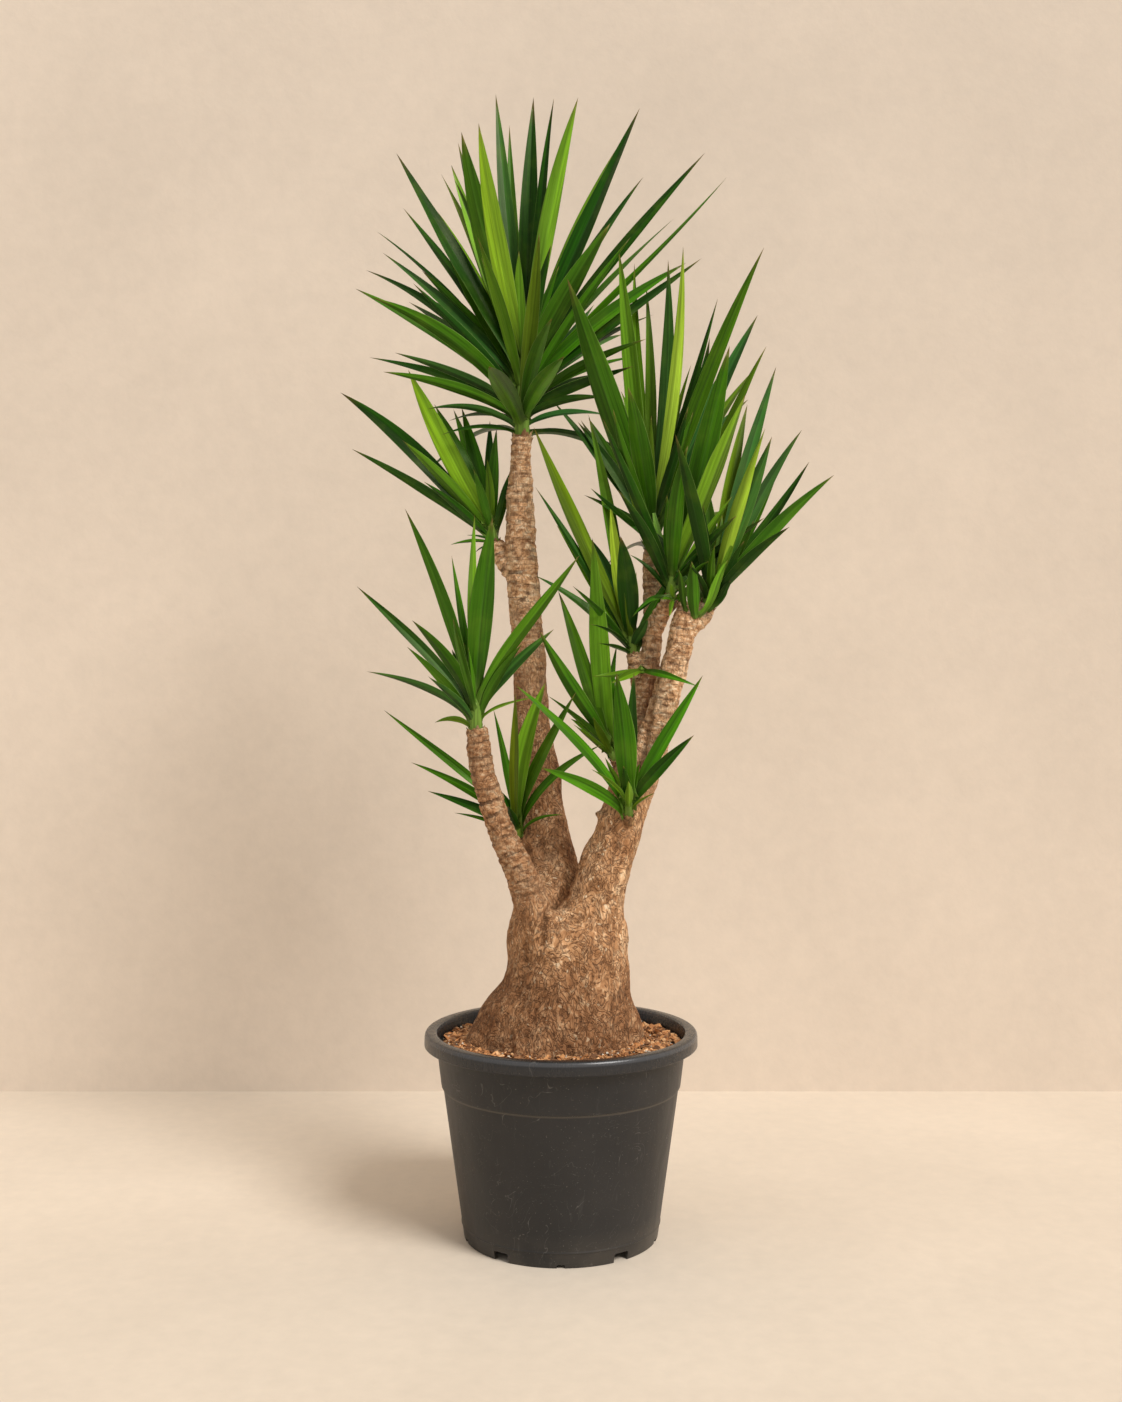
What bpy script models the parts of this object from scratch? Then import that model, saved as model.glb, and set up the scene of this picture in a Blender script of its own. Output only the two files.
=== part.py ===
"""A branched yucca, about 1.72 m tall, in a round nursery pot 40 cm across its rim.

One grown trunk, with a swollen foot and four stems, stands rooted in potting soil under a
layer of bark mulch. Ten leaf crowns and one small sprig sit in the ends and sides of the stems.
The four sparse crowns are built leaf by leaf. The dense ones are each one rosette, because the
clasping bases of their leaves are grown together.

The origin is the centre of the pot's underside, +Z is up, and the plant's front faces -Y.
Lengths below are in centimetres. CM turns them into Blender's metres.
"""

import math
import random

import bmesh
import bpy
from mathutils import Matrix, Vector
from mathutils.bvhtree import BVHTree

CM = 0.01
GAP = 0.03  # between pieces that touch

# The plant is set out on its front elevation, the upright plane through the pot's axis, as it
# shows from a viewpoint this far in front and this high. A point behind or before that plane
# lies on the same line of sight.
VIEW_DISTANCE = 228.0
VIEW_HEIGHT = 82.0

# Pot
POT_HEIGHT = 30.0
RIM_RADIUS = 20.0
RIM_DROP = 2.0
BASE_RADIUS = 14.25
NECK_RADIUS = 18.5  # outside of the wall, level with the rim's top
STEP_HEIGHT = 22.0
STEP_RADIUS = 17.25
STEP_OUT = 0.25
BEAD_HEIGHT = 2.2
BEAD_OUT = 0.08
WALL = 0.3
FLOOR_HEIGHT = 1.4
DISH_RADIUS = 3.0  # flat middle of the floor, which dips down to the ground
POT_SIDES = 48
NOTCHES = 5  # wide drain notches, with a narrow one between each two
WIDE_NOTCH = (2.4, 1.3)  # width, height
NARROW_NOTCH = (1.2, 0.5)
FIRST_WIDE_NOTCH = 36.0  # degrees from the front
DRAIN_HOLE_RADIUS = 0.8
DRAIN_HOLE_RING = 11.4
FIRST_DRAIN_HOLE = 20.0  # degrees from the front

# Filling
SOIL_TOP = 26.3
MULCH_EDGE = 28.0
MULCH_MOUND = 28.8
MOUND_RADIUS = 12.0

# Swollen foot of the trunk: height, centre across and back, half width, half depth
CAUDEX = [
    (18.5, -1.0, 0.0, 3.0, 3.0),
    (19.5, -1.0, 0.0, 6.5, 6.0),
    (22.0, -1.1, 0.0, 10.5, 9.5),
    (25.0, -1.2, 0.0, 12.4, 11.2),
    (28.0, -1.3, 0.0, 13.0, 11.6),
    (31.0, -0.8, 0.0, 12.1, 10.8),
    (34.0, -0.3, 0.0, 10.8, 10.0),
    (37.0, 0.6, 0.0, 9.4, 9.3),
    (40.0, 1.0, 0.0, 8.9, 8.9),
    (44.0, 1.05, 0.2, 8.8, 8.6),
    (46.5, 0.9, 0.7, 8.2, 7.6),
    (48.5, 0.2, 1.6, 6.2, 5.8),
    (49.6, 0.0, 2.4, 3.2, 3.4),
]
ROOT_LOBES = 7
ROOT_LOBE_DEPTH = 0.055  # share of the foot's radius, fading out up the trunk
ROOT_LOBE_FADE = 38.0
STEM_SIDES = 18
TRUNK_VOXEL = 0.5
TRUNK_SMOOTHING = 9
TRUNK_DETAIL = 0.055  # share of the faces kept
SHOOT_SIDES = 10
SHOOT_SEAT = 0.7  # how deep a shoot's foot sits in the bark
SHOOT_GIRTH = [(0.0, 1.0), (0.45, 0.95), (0.85, 0.7), (1.0, 0.35)]  # share up it, of its radius
LEAF_STATIONS = (0.0, 0.22, 0.5, 0.78)
LEAF_THICKNESS = 0.24
LEAF_FOLD = 0.22  # how far the edges stand above the midrib, as a share of the half width
BASE_WIDTH = 0.95  # of a leaf where it clasps the shoot
SINGLE_BASE_WIDTH = 0.62  # of a leaf that is a piece of its own
ROOTED_START = 0.45  # where a leaf starts in its shoot, as a share of the shoot's radius
FLUSH_START = 0.72
CLEARANCE = 0.08  # kept round a leaf while it is swung clear of its neighbours
SWINGS = [0] + [sign * step for step in (1.5, 3, 4.5, 6, 8, 10, 12, 15, 18) for sign in (1, -1)]
TWISTS = [0] + [sign * step for step in (12, 24, 36, 48) for sign in (1, -1)]  # round the shoot
SHIFTS = [0, 0.1, -0.1, 0.2, -0.2, 0.3, -0.3]  # along the shoot, as a share of its length
GOLDEN_ANGLE = math.radians(137.5)

# Stems: points along each, as across, up, back and radius
STEMS = {
    "left": [
        (-2.6, 42.0, -3.6, 3.6),
        (-3.5, 46.0, -4.8, 3.1),
        (-4.6, 49.5, -5.3, 2.65),
        (-5.6, 52.3, -5.5, 2.3),
        (-7.1, 55.5, -5.6, 2.05),
        (-9.1, 60.0, -6.0, 1.8),
        (-11.0, 66.0, -6.4, 1.75),
        (-12.0, 70.5, -6.8, 1.7),
        (-12.4, 74.2, -7.0, 1.5),
    ],
    "tall": [
        (-0.9, 42.0, 1.2, 6.6),
        (-1.5, 47.5, 3.0, 5.8),
        (-1.6, 52.0, 4.6, 4.9),
        (-2.2, 56.0, 5.4, 4.2),
        (-2.7, 60.0, 6.0, 3.6),
        (-3.1, 64.0, 6.3, 3.3),
        (-3.7, 70.0, 6.6, 2.95),
        (-4.3, 76.0, 6.8, 2.6),
        (-4.5, 82.0, 7.0, 2.4),
        (-5.0, 89.0, 7.0, 2.3),
        (-5.7, 97.0, 6.6, 2.25),
        (-5.9, 103.0, 6.2, 2.1),
        (-6.0, 109.0, 5.6, 1.85),
        (-5.9, 113.0, 5.2, 1.45),
        (-5.7, 116.8, 5.0, 1.45),
    ],
    "tall_stub": [
        (-6.0, 96.5, 6.6, 1.6),
        (-8.2, 98.6, 7.0, 1.35),
        (-9.6, 101.3, 7.2, 1.1),
    ],
    "right": [
        (3.3, 40.5, -0.6, 6.6),
        (4.0, 44.5, -1.0, 5.9),
        (4.8, 48.0, -1.5, 4.7),
        (5.6, 51.0, -1.8, 4.0),
        (6.4, 54.0, -2.0, 3.85),
        (8.1, 58.0, -2.1, 3.5),
        (9.3, 62.0, -2.2, 3.35),
        (10.9, 66.5, -2.3, 3.2),
        (12.9, 71.0, -2.4, 2.6),
        (14.3, 75.0, -2.5, 2.2),
        (15.6, 80.0, -2.5, 2.05),
        (17.0, 85.0, -2.5, 1.9),
        (18.1, 89.5, -2.5, 1.95),
        (19.0, 92.4, -2.5, 1.8),
    ],
    "right_knob": [
        (18.4, 89.3, -2.4, 1.6),
        (20.2, 90.6, -2.5, 1.6),
        (21.4, 92.0, -2.5, 1.35),
    ],
    "rear": [
        (9.4, 63.0, -0.8, 3.1),
        (10.6, 69.0, 0.6, 2.6),
        (12.2, 76.0, 1.5, 2.0),
        (12.9, 83.0, 1.8, 1.5),
        (13.5, 89.0, 2.2, 1.3),
        (13.3, 94.5, 3.2, 1.35),
        (13.3, 100.2, 4.0, 1.2),
    ],
    "rear_fork": [
        (13.7, 88.4, 2.1, 1.2),
        (14.8, 91.0, 1.3, 1.15),
        (16.0, 93.4, 0.1, 1.15),
    ],
    "rear_stub": [
        (12.4, 77.5, 1.6, 1.4),
        (11.1, 81.0, 1.9, 1.0),
        (10.5, 85.3, 2.2, 0.9),
    ],
}

# Crowns. Each has its foot (across, up, back), its growing direction, the length and radius of
# its green shoot, and how far a leaf runs up the shoot before it turns out. A leaf is given by
# where its tip shows (across, up), how far back of the foot it lies, its width and, where it
# arches, its bow: over 0 droops at the tip, under 0 turns up.
CROWNS = {
    "top_crown": {
        "foot": (-5.7, 116.0, 5.0),
        "grows": (0.0, 0.0, 1.0),
        "shoot": (7.0, 1.2),
        "run": 5.0,
        "leaves": [
            (-9.5, 166.5, 10, 2.2),
            (-7.5, 162.0, 15, 1.5),
            (-4.0, 166.0, 6, 2.6),
            (-1.0, 166.0, 2, 1.3),
            (2.5, 166.0, -2, 2.6),
            (11.5, 164.5, 0, 3.3),
            (12.0, 154.5, 14, 1.7),
            (8.0, 158.5, 17, 1.5),
            (21.0, 158.0, 5, 1.8),
            (16.5, 148.5, 8, 1.3),
            (24.2, 154.5, 9, 1.0, -4.0),
            (20.5, 142.7, 3, 2.2),
            (13.5, 134.5, 8, 1.7),
            (12.5, 131.0, -6, 1.4),
            (11.5, 128.5, 2, 1.3),
            (10.5, 127.0, -8, 1.6),
            (8.0, 126.0, 7, 2.0, 1.0),
            (6.5, 122.5, -4, 1.4, 1.0),
            (7.5, 119.7, 1, 1.5, 1.5),
            (-14.5, 161.0, -4, 3.4),
            (-12.0, 162.3, -9, 2.7),
            (-15.0, 159.5, 7, 1.6),
            (-16.0, 156.3, 3, 2.3),
            (-17.5, 155.0, 9, 1.8),
            (-24.0, 158.0, 0, 3.0, 1.0),
            (-23.0, 150.0, 8, 1.7),
            (-18.0, 149.5, 13, 0.9),
            (-27.0, 146.7, 12, 0.9),
            (-26.0, 143.5, 3, 1.9),
            (-28.5, 141.0, 7, 2.0),
            (-30.0, 138.3, 0, 2.0),
            (-27.5, 137.0, -14, 2.3, 1.5),
            (-24.3, 129.0, -5, 1.4, 0.8),
            (-28.0, 128.3, 4, 1.7, 1.0),
            (-26.0, 126.2, -8, 1.7, 1.0),
            (-19.5, 120.8, -6, 1.3, 1.5),
            (-16.5, 119.0, 8, 1.2, 1.0),
            (-17.5, 117.0, -3, 1.0, 1.2),
            (-18.5, 138.5, 14, 2.2),
            (-12.5, 140.8, 18, 1.9),
            (-10.5, 127.0, -24, 3.0),
            (7.2, 147.8, -12, 2.9, -1.0),
            (-1.3, 134.0, -24, 2.0),
            (0.5, 128.5, -20, 2.5),
        ],
        "rear_leaves": 16,
        "rear_lean": (12, 100),
        "rear_length": 38.0,
        "rear_tucked": (8, 10, 11, 12, 13),
    },
    "left_high_crown": {
        "foot": (-9.6, 100.8, 7.2),
        "grows": (-0.25, 0.0, 1.0),
        "shoot": (3.2, 0.8),
        "run": 2.6,
        "leaves": [
            (-32.2, 123.2, 0, 2.7, 0.5),
            (-30.6, 115.0, -6, 1.3),
            (-22.3, 126.5, -4, 2.8),
            (-18.5, 121.5, 4, 2.6),
            (-14.5, 121.0, 7, 2.1),
            (-9.4, 118.0, 6, 1.8),
            (-16.2, 101.0, -4, 0.7, 0.6),
            (-13.8, 102.4, -3, 0.5),
            (-12.6, 99.8, -3, 0.5, 0.3),
        ],
        "rear_leaves": 4,
        "rear_lean": (25, 80),
        "rear_length": 24.0,
        "rear_tucked": (1, 2, 3),
    },
    "left_crown": {
        "foot": (-12.4, 73.2, -7.0),
        "grows": (-0.05, 0.0, 1.0),
        "shoot": (5.2, 1.05),
        "run": 3.0,
        "leaf_by_leaf": True,
        "leaves": [
            (-22.8, 106.3, -2, 1.8),
            (-16.0, 99.5, 6, 0.8),
            (-12.6, 105.5, 7, 1.1),
            (-10.0, 105.0, -3, 3.2),
            (2.7, 99.5, -5, 1.8),
            (-1.0, 88.7, 2, 1.7),
            (-29.9, 95.0, 3, 1.4),
            (-21.8, 90.0, -8, 2.0),
            (-15.8, 90.3, -12, 1.0),
            (-28.5, 82.5, -3, 1.2),
            (-19.5, 81.8, -9, 1.1),
            (-18.5, 75.0, -3, 1.0, 1.2),
            (-4.0, 78.7, 1, 0.8),
        ],
        "rear_leaves": 0,
    },
    "low_crown": {
        "foot": (-5.9, 58.0, 3.8),
        "grows": (-0.25, -0.45, 1.0),
        "shoot": (2.9, 0.62),
        "run": 1.5,
        "leaf_by_leaf": True,
        "leaves": [
            (-26.0, 76.9, 2, 1.1),
            (-22.0, 69.2, 3, 1.3),
            (-19.6, 65.0, 1, 1.6),
            (-15.7, 61.8, 2, 0.7),
            (-9.9, 77.0, -4, 1.1),
            (-6.7, 79.5, -7, 1.1),
            (-2.2, 81.0, -9, 2.5),
            (2.2, 79.5, -9, 1.8),
            (6.0, 71.8, -10, 1.3),
            (0.4, 61.5, -9, 0.6, 1.2),
        ],
        "rear_leaves": 0,
    },
    "front_crown": {
        "foot": (9.9, 61.0, -5.5),
        "grows": (0.0, -0.45, 1.0),
        "shoot": (3.2, 0.72),
        "run": 2.0,
        "leaf_by_leaf": True,
        "leaves": [
            (-6.9, 80.7, -5, 1.3),
            (-3.0, 68.4, -4, 1.8),
            (4.4, 68.2, -7, 0.8),
            (8.1, 82.3, -4, 3.0),
            (20.8, 82.0, -1, 1.8),
            (19.5, 73.2, -3, 1.8),
            (13.8, 64.7, -4, 0.7),
            (10.7, 82.5, 0, 1.7),
        ],
        "rear_leaves": 0,
    },
    "middle_crown": {
        "foot": (8.0, 69.3, 0.2),
        "grows": (-0.45, -0.25, 1.0),
        "shoot": (2.6, 0.62),
        "run": 1.8,
        "leaf_by_leaf": True,
        "leaves": [
            (-0.4, 94.3, 3, 1.9),
            (-3.2, 88.5, -4, 1.9),
            (4.6, 102.0, 0, 3.1),
            (-2.0, 79.0, -3, 1.2),
            (1.8, 74.8, -3, 0.9),
            (8.2, 86.5, 3, 1.2),
        ],
        "rear_leaves": 0,
    },
    "stub_crown": {
        "foot": (10.5, 84.7, 2.2),
        "grows": (-0.1, -0.1, 1.0),
        "shoot": (3.2, 0.72),
        "run": 2.4,
        "leaves": [
            (-4.0, 118.2, -6, 2.2),
            (-3.8, 109.5, -2, 1.3),
            (-4.0, 96.6, -6, 1.4),
            (8.7, 102.3, -8, 2.9),
            (7.2, 107.2, -1, 1.9),
            (4.0, 120.0, 3, 1.7),
            (4.3, 89.4, -5, 0.8),
            (5.5, 86.6, -3, 0.9, 0.5),
            (12.7, 90.3, -5, 1.6),
        ],
        "rear_leaves": 4,
        "rear_lean": (20, 70),
        "rear_length": 22.0,
        "rear_tucked": (3,),
    },
    "rear_crown": {
        "foot": (13.3, 99.6, 4.0),
        "grows": (0.0, 0.0, 1.0),
        "shoot": (5.0, 0.95),
        "run": 4.0,
        "leaves": [
            (0.9, 139.8, -9, 3.8),
            (9.8, 124.0, -12, 3.0),
            (8.4, 144.0, -2, 2.4),
            (10.7, 142.0, 6, 1.5),
            (12.4, 139.0, 4, 1.4),
            (15.6, 142.5, 2, 2.0),
            (17.8, 144.5, -3, 1.5),
            (22.9, 137.0, 5, 0.9),
            (21.7, 131.2, 8, 1.9),
            (29.6, 144.3, 0, 2.3),
            (28.7, 134.5, 6, 2.8),
            (-1.5, 122.3, 2, 1.5),
            (4.0, 119.5, 6, 2.2),
            (4.3, 109.3, -8, 0.9),
            (19.0, 127.3, 10, 0.9),
            (11.4, 106.3, -6, 0.6),
        ],
        "rear_leaves": 10,
        "rear_lean": (15, 95),
        "rear_length": 34.0,
        "rear_tucked": (3, 5, 6, 8),  # numbers of the rear leaves that grow up and straight back
    },
    "fork_crown": {
        "foot": (16.0, 92.7, 0.1),
        "grows": (0.05, -0.1, 1.0),
        "shoot": (3.8, 0.85),
        "run": 3.0,
        "leaves": [
            (24.6, 130.0, -3, 3.4),
            (30.0, 130.0, 1, 2.0),
            (25.7, 105.3, -9, 1.6, 0.5),
            (29.8, 105.0, -6, 1.4, 0.5),
            (10.4, 90.4, -5, 0.9, 1.5),
            (10.0, 99.6, -4, 0.9, 0.8),
            (11.5, 102.0, -3, 0.7),
            (21.3, 96.7, -4, 0.6, 0.4),
            (27.0, 123.0, -7, 3.3),
            (19.8, 99.8, -5, 0.6),
            (18.5, 115.5, -13, 2.2),
        ],
        "rear_leaves": 2,
        "rear_lean": (15, 50),
        "rear_length": 26.0,
    },
    "right_crown": {
        "foot": (21.2, 91.6, -2.5),
        "grows": (0.4, -0.05, 1.0),
        "shoot": (3.8, 1.0),
        "run": 2.8,
        "leaves": [
            (31.4, 127.0, 3, 1.9, -1.5),
            (35.2, 117.8, 6, 1.6, 2.5),
            (30.8, 116.8, -4, 2.2),
            (29.8, 118.0, -8, 1.8),
            (39.9, 111.2, -2, 1.8),
            (36.3, 113.2, 3, 1.3, -3.0),
            (18.8, 98.2, -6, 1.3),
            (27.2, 121.5, 6, 2.0),
            (22.5, 101.0, -9, 1.2),
        ],
        "rear_leaves": 6,
        "rear_lean": (25, 75),
        "rear_length": 24.0,
        "rear_tucked": (2, 5),
    },
    "sprig": {
        "foot": (11.9, 82.6, 0.7),
        "grows": (-0.15, -1.0, 0.25),
        "shoot": (1.0, 0.38),
        "run": 3.6,
        "leaves": [
            (4.6, 81.8, -4, 0.9, 0.5),
            (7.4, 80.8, -6, 1.2),
            (20.3, 80.2, -7, 1.1, 5.0),
        ],
        "rear_leaves": 0,
    },
}

COLOURS = {
    "pot": (0.035, 0.035, 0.038),
    "potting_soil": (0.05, 0.03, 0.018),
    "bark_mulch": (0.19, 0.085, 0.04),
    "trunk": (0.3, 0.19, 0.11),
    "shoot": (0.3, 0.42, 0.12),
    "leaf": (0.05, 0.16, 0.035),
}
ROUGHNESS = {"pot": 0.5, "shoot": 0.5, "leaf": 0.42}


def place(across, up, back):
    """The point behind or before the front elevation that shows there at (across, up)."""
    reach = (VIEW_DISTANCE + back) / VIEW_DISTANCE
    return Vector((across * reach, back, VIEW_HEIGHT + (up - VIEW_HEIGHT) * reach))


def clear_scene():
    for obj in list(bpy.data.objects):
        bpy.data.objects.remove(obj)


def material(name):
    """The plain material of one kind of piece, made once."""
    found = bpy.data.materials.get(name)
    if found:
        return found
    made = bpy.data.materials.new(name)
    made.use_nodes = True
    shader = made.node_tree.nodes["Principled BSDF"]
    shader.inputs["Base Color"].default_value = (*COLOURS[name], 1.0)
    shader.inputs["Roughness"].default_value = ROUGHNESS.get(name, 0.9)
    made.diffuse_color = (*COLOURS[name], 1.0)
    return made


def mesh_from(name, points, faces):
    """A mesh in metres from points in centimetres, with its faces pointing out."""
    mesh = bpy.data.meshes.new(name)
    mesh.from_pydata([Vector(p) * CM for p in points], [], faces)
    shape = bmesh.new()
    shape.from_mesh(mesh)
    bmesh.ops.remove_doubles(shape, verts=shape.verts, dist=1e-6)
    bmesh.ops.recalc_face_normals(shape, faces=shape.faces)
    shape.to_mesh(mesh)
    shape.free()
    return mesh


def add_object(name, mesh, kind, helper=None):
    """An object in the scene, or in the collection `helper` if it only shapes another piece."""
    obj = bpy.data.objects.new(name, mesh)
    mesh.materials.append(material(kind))
    (helper or bpy.context.scene.collection).objects.link(obj)
    if helper:
        obj.hide_render = True
        obj.display_type = "WIRE"
    return obj


def helper_collection(name):
    made = bpy.data.collections.new(name)
    made.hide_render = True
    bpy.context.scene.collection.children.link(made)
    return made


def tube_faces(rings, sides, first=0):
    """Faces of a closed tube whose rings of points lie one after another."""
    faces = [tuple(first + i for i in range(sides))]
    for ring in range(rings - 1):
        for i in range(sides):
            a, b = first + ring * sides + i, first + ring * sides + (i + 1) % sides
            faces.append((a, b, b + sides, a + sides))
    faces.append(tuple(first + (rings - 1) * sides + i for i in reversed(range(sides))))
    return faces


def turned(name, profile, kind, sides=POT_SIDES, helper=None):
    """A solid turned about the pot's axis from (radius, height) points. It starts and ends on it."""
    points, faces, rings = [], [], []
    for radius, height in profile:
        if radius == 0:
            rings.append([len(points)])
            points.append((0.0, 0.0, height))
            continue
        rings.append(list(range(len(points), len(points) + sides)))
        for i in range(sides):
            turn = 2 * math.pi * i / sides
            points.append((radius * math.sin(turn), -radius * math.cos(turn), height))
    for low, high in zip(rings, rings[1:]):
        for i in range(sides):
            j = (i + 1) % sides
            corners = [low[i % len(low)], low[j % len(low)], high[j % len(high)], high[i % len(high)]]
            faces.append(tuple(dict.fromkeys(corners)))
    return add_object(name, mesh_from(name, points, faces), kind, helper)


def cut(obj, cutter, operation="DIFFERENCE"):
    boolean = obj.modifiers.new(cutter.name, "BOOLEAN")
    boolean.operation = operation
    boolean.object = cutter


def smooth_points(knots, steps):
    """A Catmull-Rom curve through knots of any dimension, with `steps` points to each span."""
    rows = [tuple(2 * a - b for a, b in zip(knots[0], knots[1]))] + list(knots)
    rows.append(tuple(2 * a - b for a, b in zip(knots[-1], knots[-2])))
    made = []
    for k in range(1, len(rows) - 2):
        for step in range(steps):
            t = step / steps
            made.append(
                tuple(
                    0.5 * (2 * b + (c - a) * t + (2 * a - 5 * b + 4 * c - d) * t**2
                           + (3 * b - a - 3 * c + d) * t**3)
                    for a, b, c, d in zip(rows[k - 1], rows[k], rows[k + 1], rows[k + 2])
                )
            )
    made.append(tuple(knots[-1]))
    return made


# --- Pot and filling -----------------------------------------------------------------------


def inner_radius(height):
    """Inside of the pot's wall at this height."""
    if height <= STEP_HEIGHT:
        share = height / STEP_HEIGHT
        return BASE_RADIUS + (STEP_RADIUS - BASE_RADIUS) * share - WALL
    share = (height - STEP_HEIGHT) / (POT_HEIGHT - STEP_HEIGHT)
    low = STEP_RADIUS + STEP_OUT
    return low + (NECK_RADIUS - low) * share - WALL


def dished_floor(lift):
    """The floor's profile from its flat middle outwards, raised by `lift`."""
    return [
        (0.0, lift),
        (DISH_RADIUS, lift),
        (DISH_RADIUS + 1.2, FLOOR_HEIGHT + lift),
    ]


def pot_profile():
    foot = BASE_RADIUS - WALL
    bead = BASE_RADIUS + 0.28
    neck = NECK_RADIUS - 0.05
    skirt = POT_HEIGHT - RIM_DROP
    outside = dished_floor(0.0) + [
        (foot - 0.15, FLOOR_HEIGHT),
        (foot, 0.0),
        (BASE_RADIUS - 0.12, 0.0),
        (BASE_RADIUS, 0.2),
        (bead, BEAD_HEIGHT - 0.1),
        (bead + BEAD_OUT, BEAD_HEIGHT + 0.1),
        (STEP_RADIUS, STEP_HEIGHT),
        (STEP_RADIUS + STEP_OUT, STEP_HEIGHT + 0.25),
        (neck, POT_HEIGHT - 0.4),
        (RIM_RADIUS - 0.35, POT_HEIGHT - 0.4),
        (RIM_RADIUS - 0.28, skirt),
        (RIM_RADIUS - 0.05, skirt),
        (RIM_RADIUS, skirt + 0.15),
        (RIM_RADIUS - 0.08, POT_HEIGHT - 0.4),
        (RIM_RADIUS - 0.3, POT_HEIGHT - 0.08),
        (RIM_RADIUS - 0.6, POT_HEIGHT),
        (NECK_RADIUS, POT_HEIGHT),
        (inner_radius(POT_HEIGHT), POT_HEIGHT - 0.25),
    ]
    inside = [
        (inner_radius(STEP_HEIGHT + 0.25), STEP_HEIGHT + 0.25),
        (inner_radius(STEP_HEIGHT), STEP_HEIGHT),
        (inner_radius(2.1), 2.1),
        (inner_radius(2.1) - 0.3, FLOOR_HEIGHT + WALL),
    ]
    return outside + inside + list(reversed(dished_floor(WALL)))


def build_pot(helpers):
    pot = turned("pot", pot_profile(), "pot")
    for i in range(2 * NOTCHES):
        width, height = WIDE_NOTCH if i % 2 == 0 else NARROW_NOTCH
        turn = math.radians(FIRST_WIDE_NOTCH + i * 180 / NOTCHES)
        outward = Vector((math.sin(turn), -math.cos(turn), 0.0))
        shape = bmesh.new()
        bmesh.ops.create_cube(shape, size=1.0)
        size = Vector((width, 2.0, 2 * height)) * CM
        bmesh.ops.scale(shape, vec=size, verts=shape.verts)
        mesh = bpy.data.meshes.new(f"notch_{i}")
        shape.to_mesh(mesh)
        shape.free()
        notch = add_object(f"notch_{i}", mesh, "pot", helpers)
        notch.location = outward * (BASE_RADIUS - 0.2) * CM
        notch.rotation_euler.z = turn
        cut(pot, notch)
    for i in range(NOTCHES):
        turn = math.radians(FIRST_DRAIN_HOLE + i * 360 / NOTCHES)
        shape = bmesh.new()
        bmesh.ops.create_cone(
            shape, cap_ends=True, segments=12, depth=2 * CM,
            radius1=DRAIN_HOLE_RADIUS * CM, radius2=DRAIN_HOLE_RADIUS * CM,
        )
        mesh = bpy.data.meshes.new(f"drain_hole_{i}")
        shape.to_mesh(mesh)
        shape.free()
        hole = add_object(f"drain_hole_{i}", mesh, "pot", helpers)
        where = Vector((math.sin(turn), -math.cos(turn), 0.0)) * DRAIN_HOLE_RING
        hole.location = (where + Vector((0, 0, FLOOR_HEIGHT + WALL / 2))) * CM
        cut(pot, hole)
    return pot


def build_filling(root_cutter):
    """Potting soil up to just under the rim, and the bark mulch that lies on it."""
    def wall(height):
        return (inner_radius(height) - GAP, height)

    floor = FLOOR_HEIGHT + WALL + GAP
    soil = turned(
        "potting_soil",
        dished_floor(WALL + GAP)
        + [(inner_radius(2.1) - 0.4, floor), wall(2.2), wall(STEP_HEIGHT), wall(STEP_HEIGHT + 0.3)]
        + [wall(SOIL_TOP), (0.0, SOIL_TOP)],
        "potting_soil",
    )
    mulch = turned(
        "bark_mulch",
        [(0.0, SOIL_TOP + GAP), wall(SOIL_TOP + GAP), wall(MULCH_EDGE)]
        + [(inner_radius(MULCH_EDGE) - 1.5, MULCH_EDGE + 0.3), (MOUND_RADIUS, MULCH_MOUND)]
        + [(0.0, MULCH_MOUND)],
        "bark_mulch",
    )
    cut(soil, root_cutter)
    cut(mulch, root_cutter)


# --- Trunk ---------------------------------------------------------------------------------


def caudex_rings():
    points = []
    rows = smooth_points(CAUDEX, 2)
    for height, across, back, half_width, half_depth in rows:
        fade = max(0.0, 1 - (height - CAUDEX[0][0]) / (ROOT_LOBE_FADE - CAUDEX[0][0]))
        for i in range(2 * STEM_SIDES):
            turn = math.pi * i / STEM_SIDES
            lobe = 1 + ROOT_LOBE_DEPTH * fade * math.cos(ROOT_LOBES * turn + 0.6)
            x = across + half_width * lobe * math.cos(turn)
            y = back + half_depth * lobe * math.sin(turn)
            points.append((x, y, height))
    return points, len(rows)


def stem_rings(knots):
    """Round rings along a stem, each square to it."""
    rows = []
    for across, up, back, radius in smooth_points(knots, 3):
        reach = (VIEW_DISTANCE + back) / VIEW_DISTANCE
        rows.append((place(across, up, back), radius * reach))
    points = []
    for k, (centre, radius) in enumerate(rows):
        ahead = rows[min(k + 1, len(rows) - 1)][0] - rows[max(k - 1, 0)][0]
        turned_to = ahead.to_track_quat("Z", "X").to_matrix()
        for i in range(STEM_SIDES):
            turn = 2 * math.pi * i / STEM_SIDES
            spoke = Vector((math.cos(turn), math.sin(turn), 0.0)) * radius
            points.append(centre + turned_to @ spoke)
    return points, len(rows)


def trunk_mesh(name):
    """The foot and the stems as tubes that run into one another, before they are fused."""
    points, faces = [], []
    rings, count = caudex_rings()
    faces += tube_faces(count, 2 * STEM_SIDES)
    points += rings
    for knots in STEMS.values():
        rings, count = stem_rings(knots)
        faces += tube_faces(count, STEM_SIDES, len(points))
        points += rings
    return mesh_from(name, points, faces)


def fuse(obj):
    """Turns tubes that overlap into one smooth skin of few faces."""
    fused = obj.modifiers.new("fuse", "REMESH")
    fused.mode = "VOXEL"
    fused.voxel_size = TRUNK_VOXEL * CM
    soft = obj.modifiers.new("soften", "SMOOTH")
    soft.factor = 0.5
    soft.iterations = TRUNK_SMOOTHING
    fewer = obj.modifiers.new("fewer_faces", "DECIMATE")
    fewer.ratio = TRUNK_DETAIL


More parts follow.
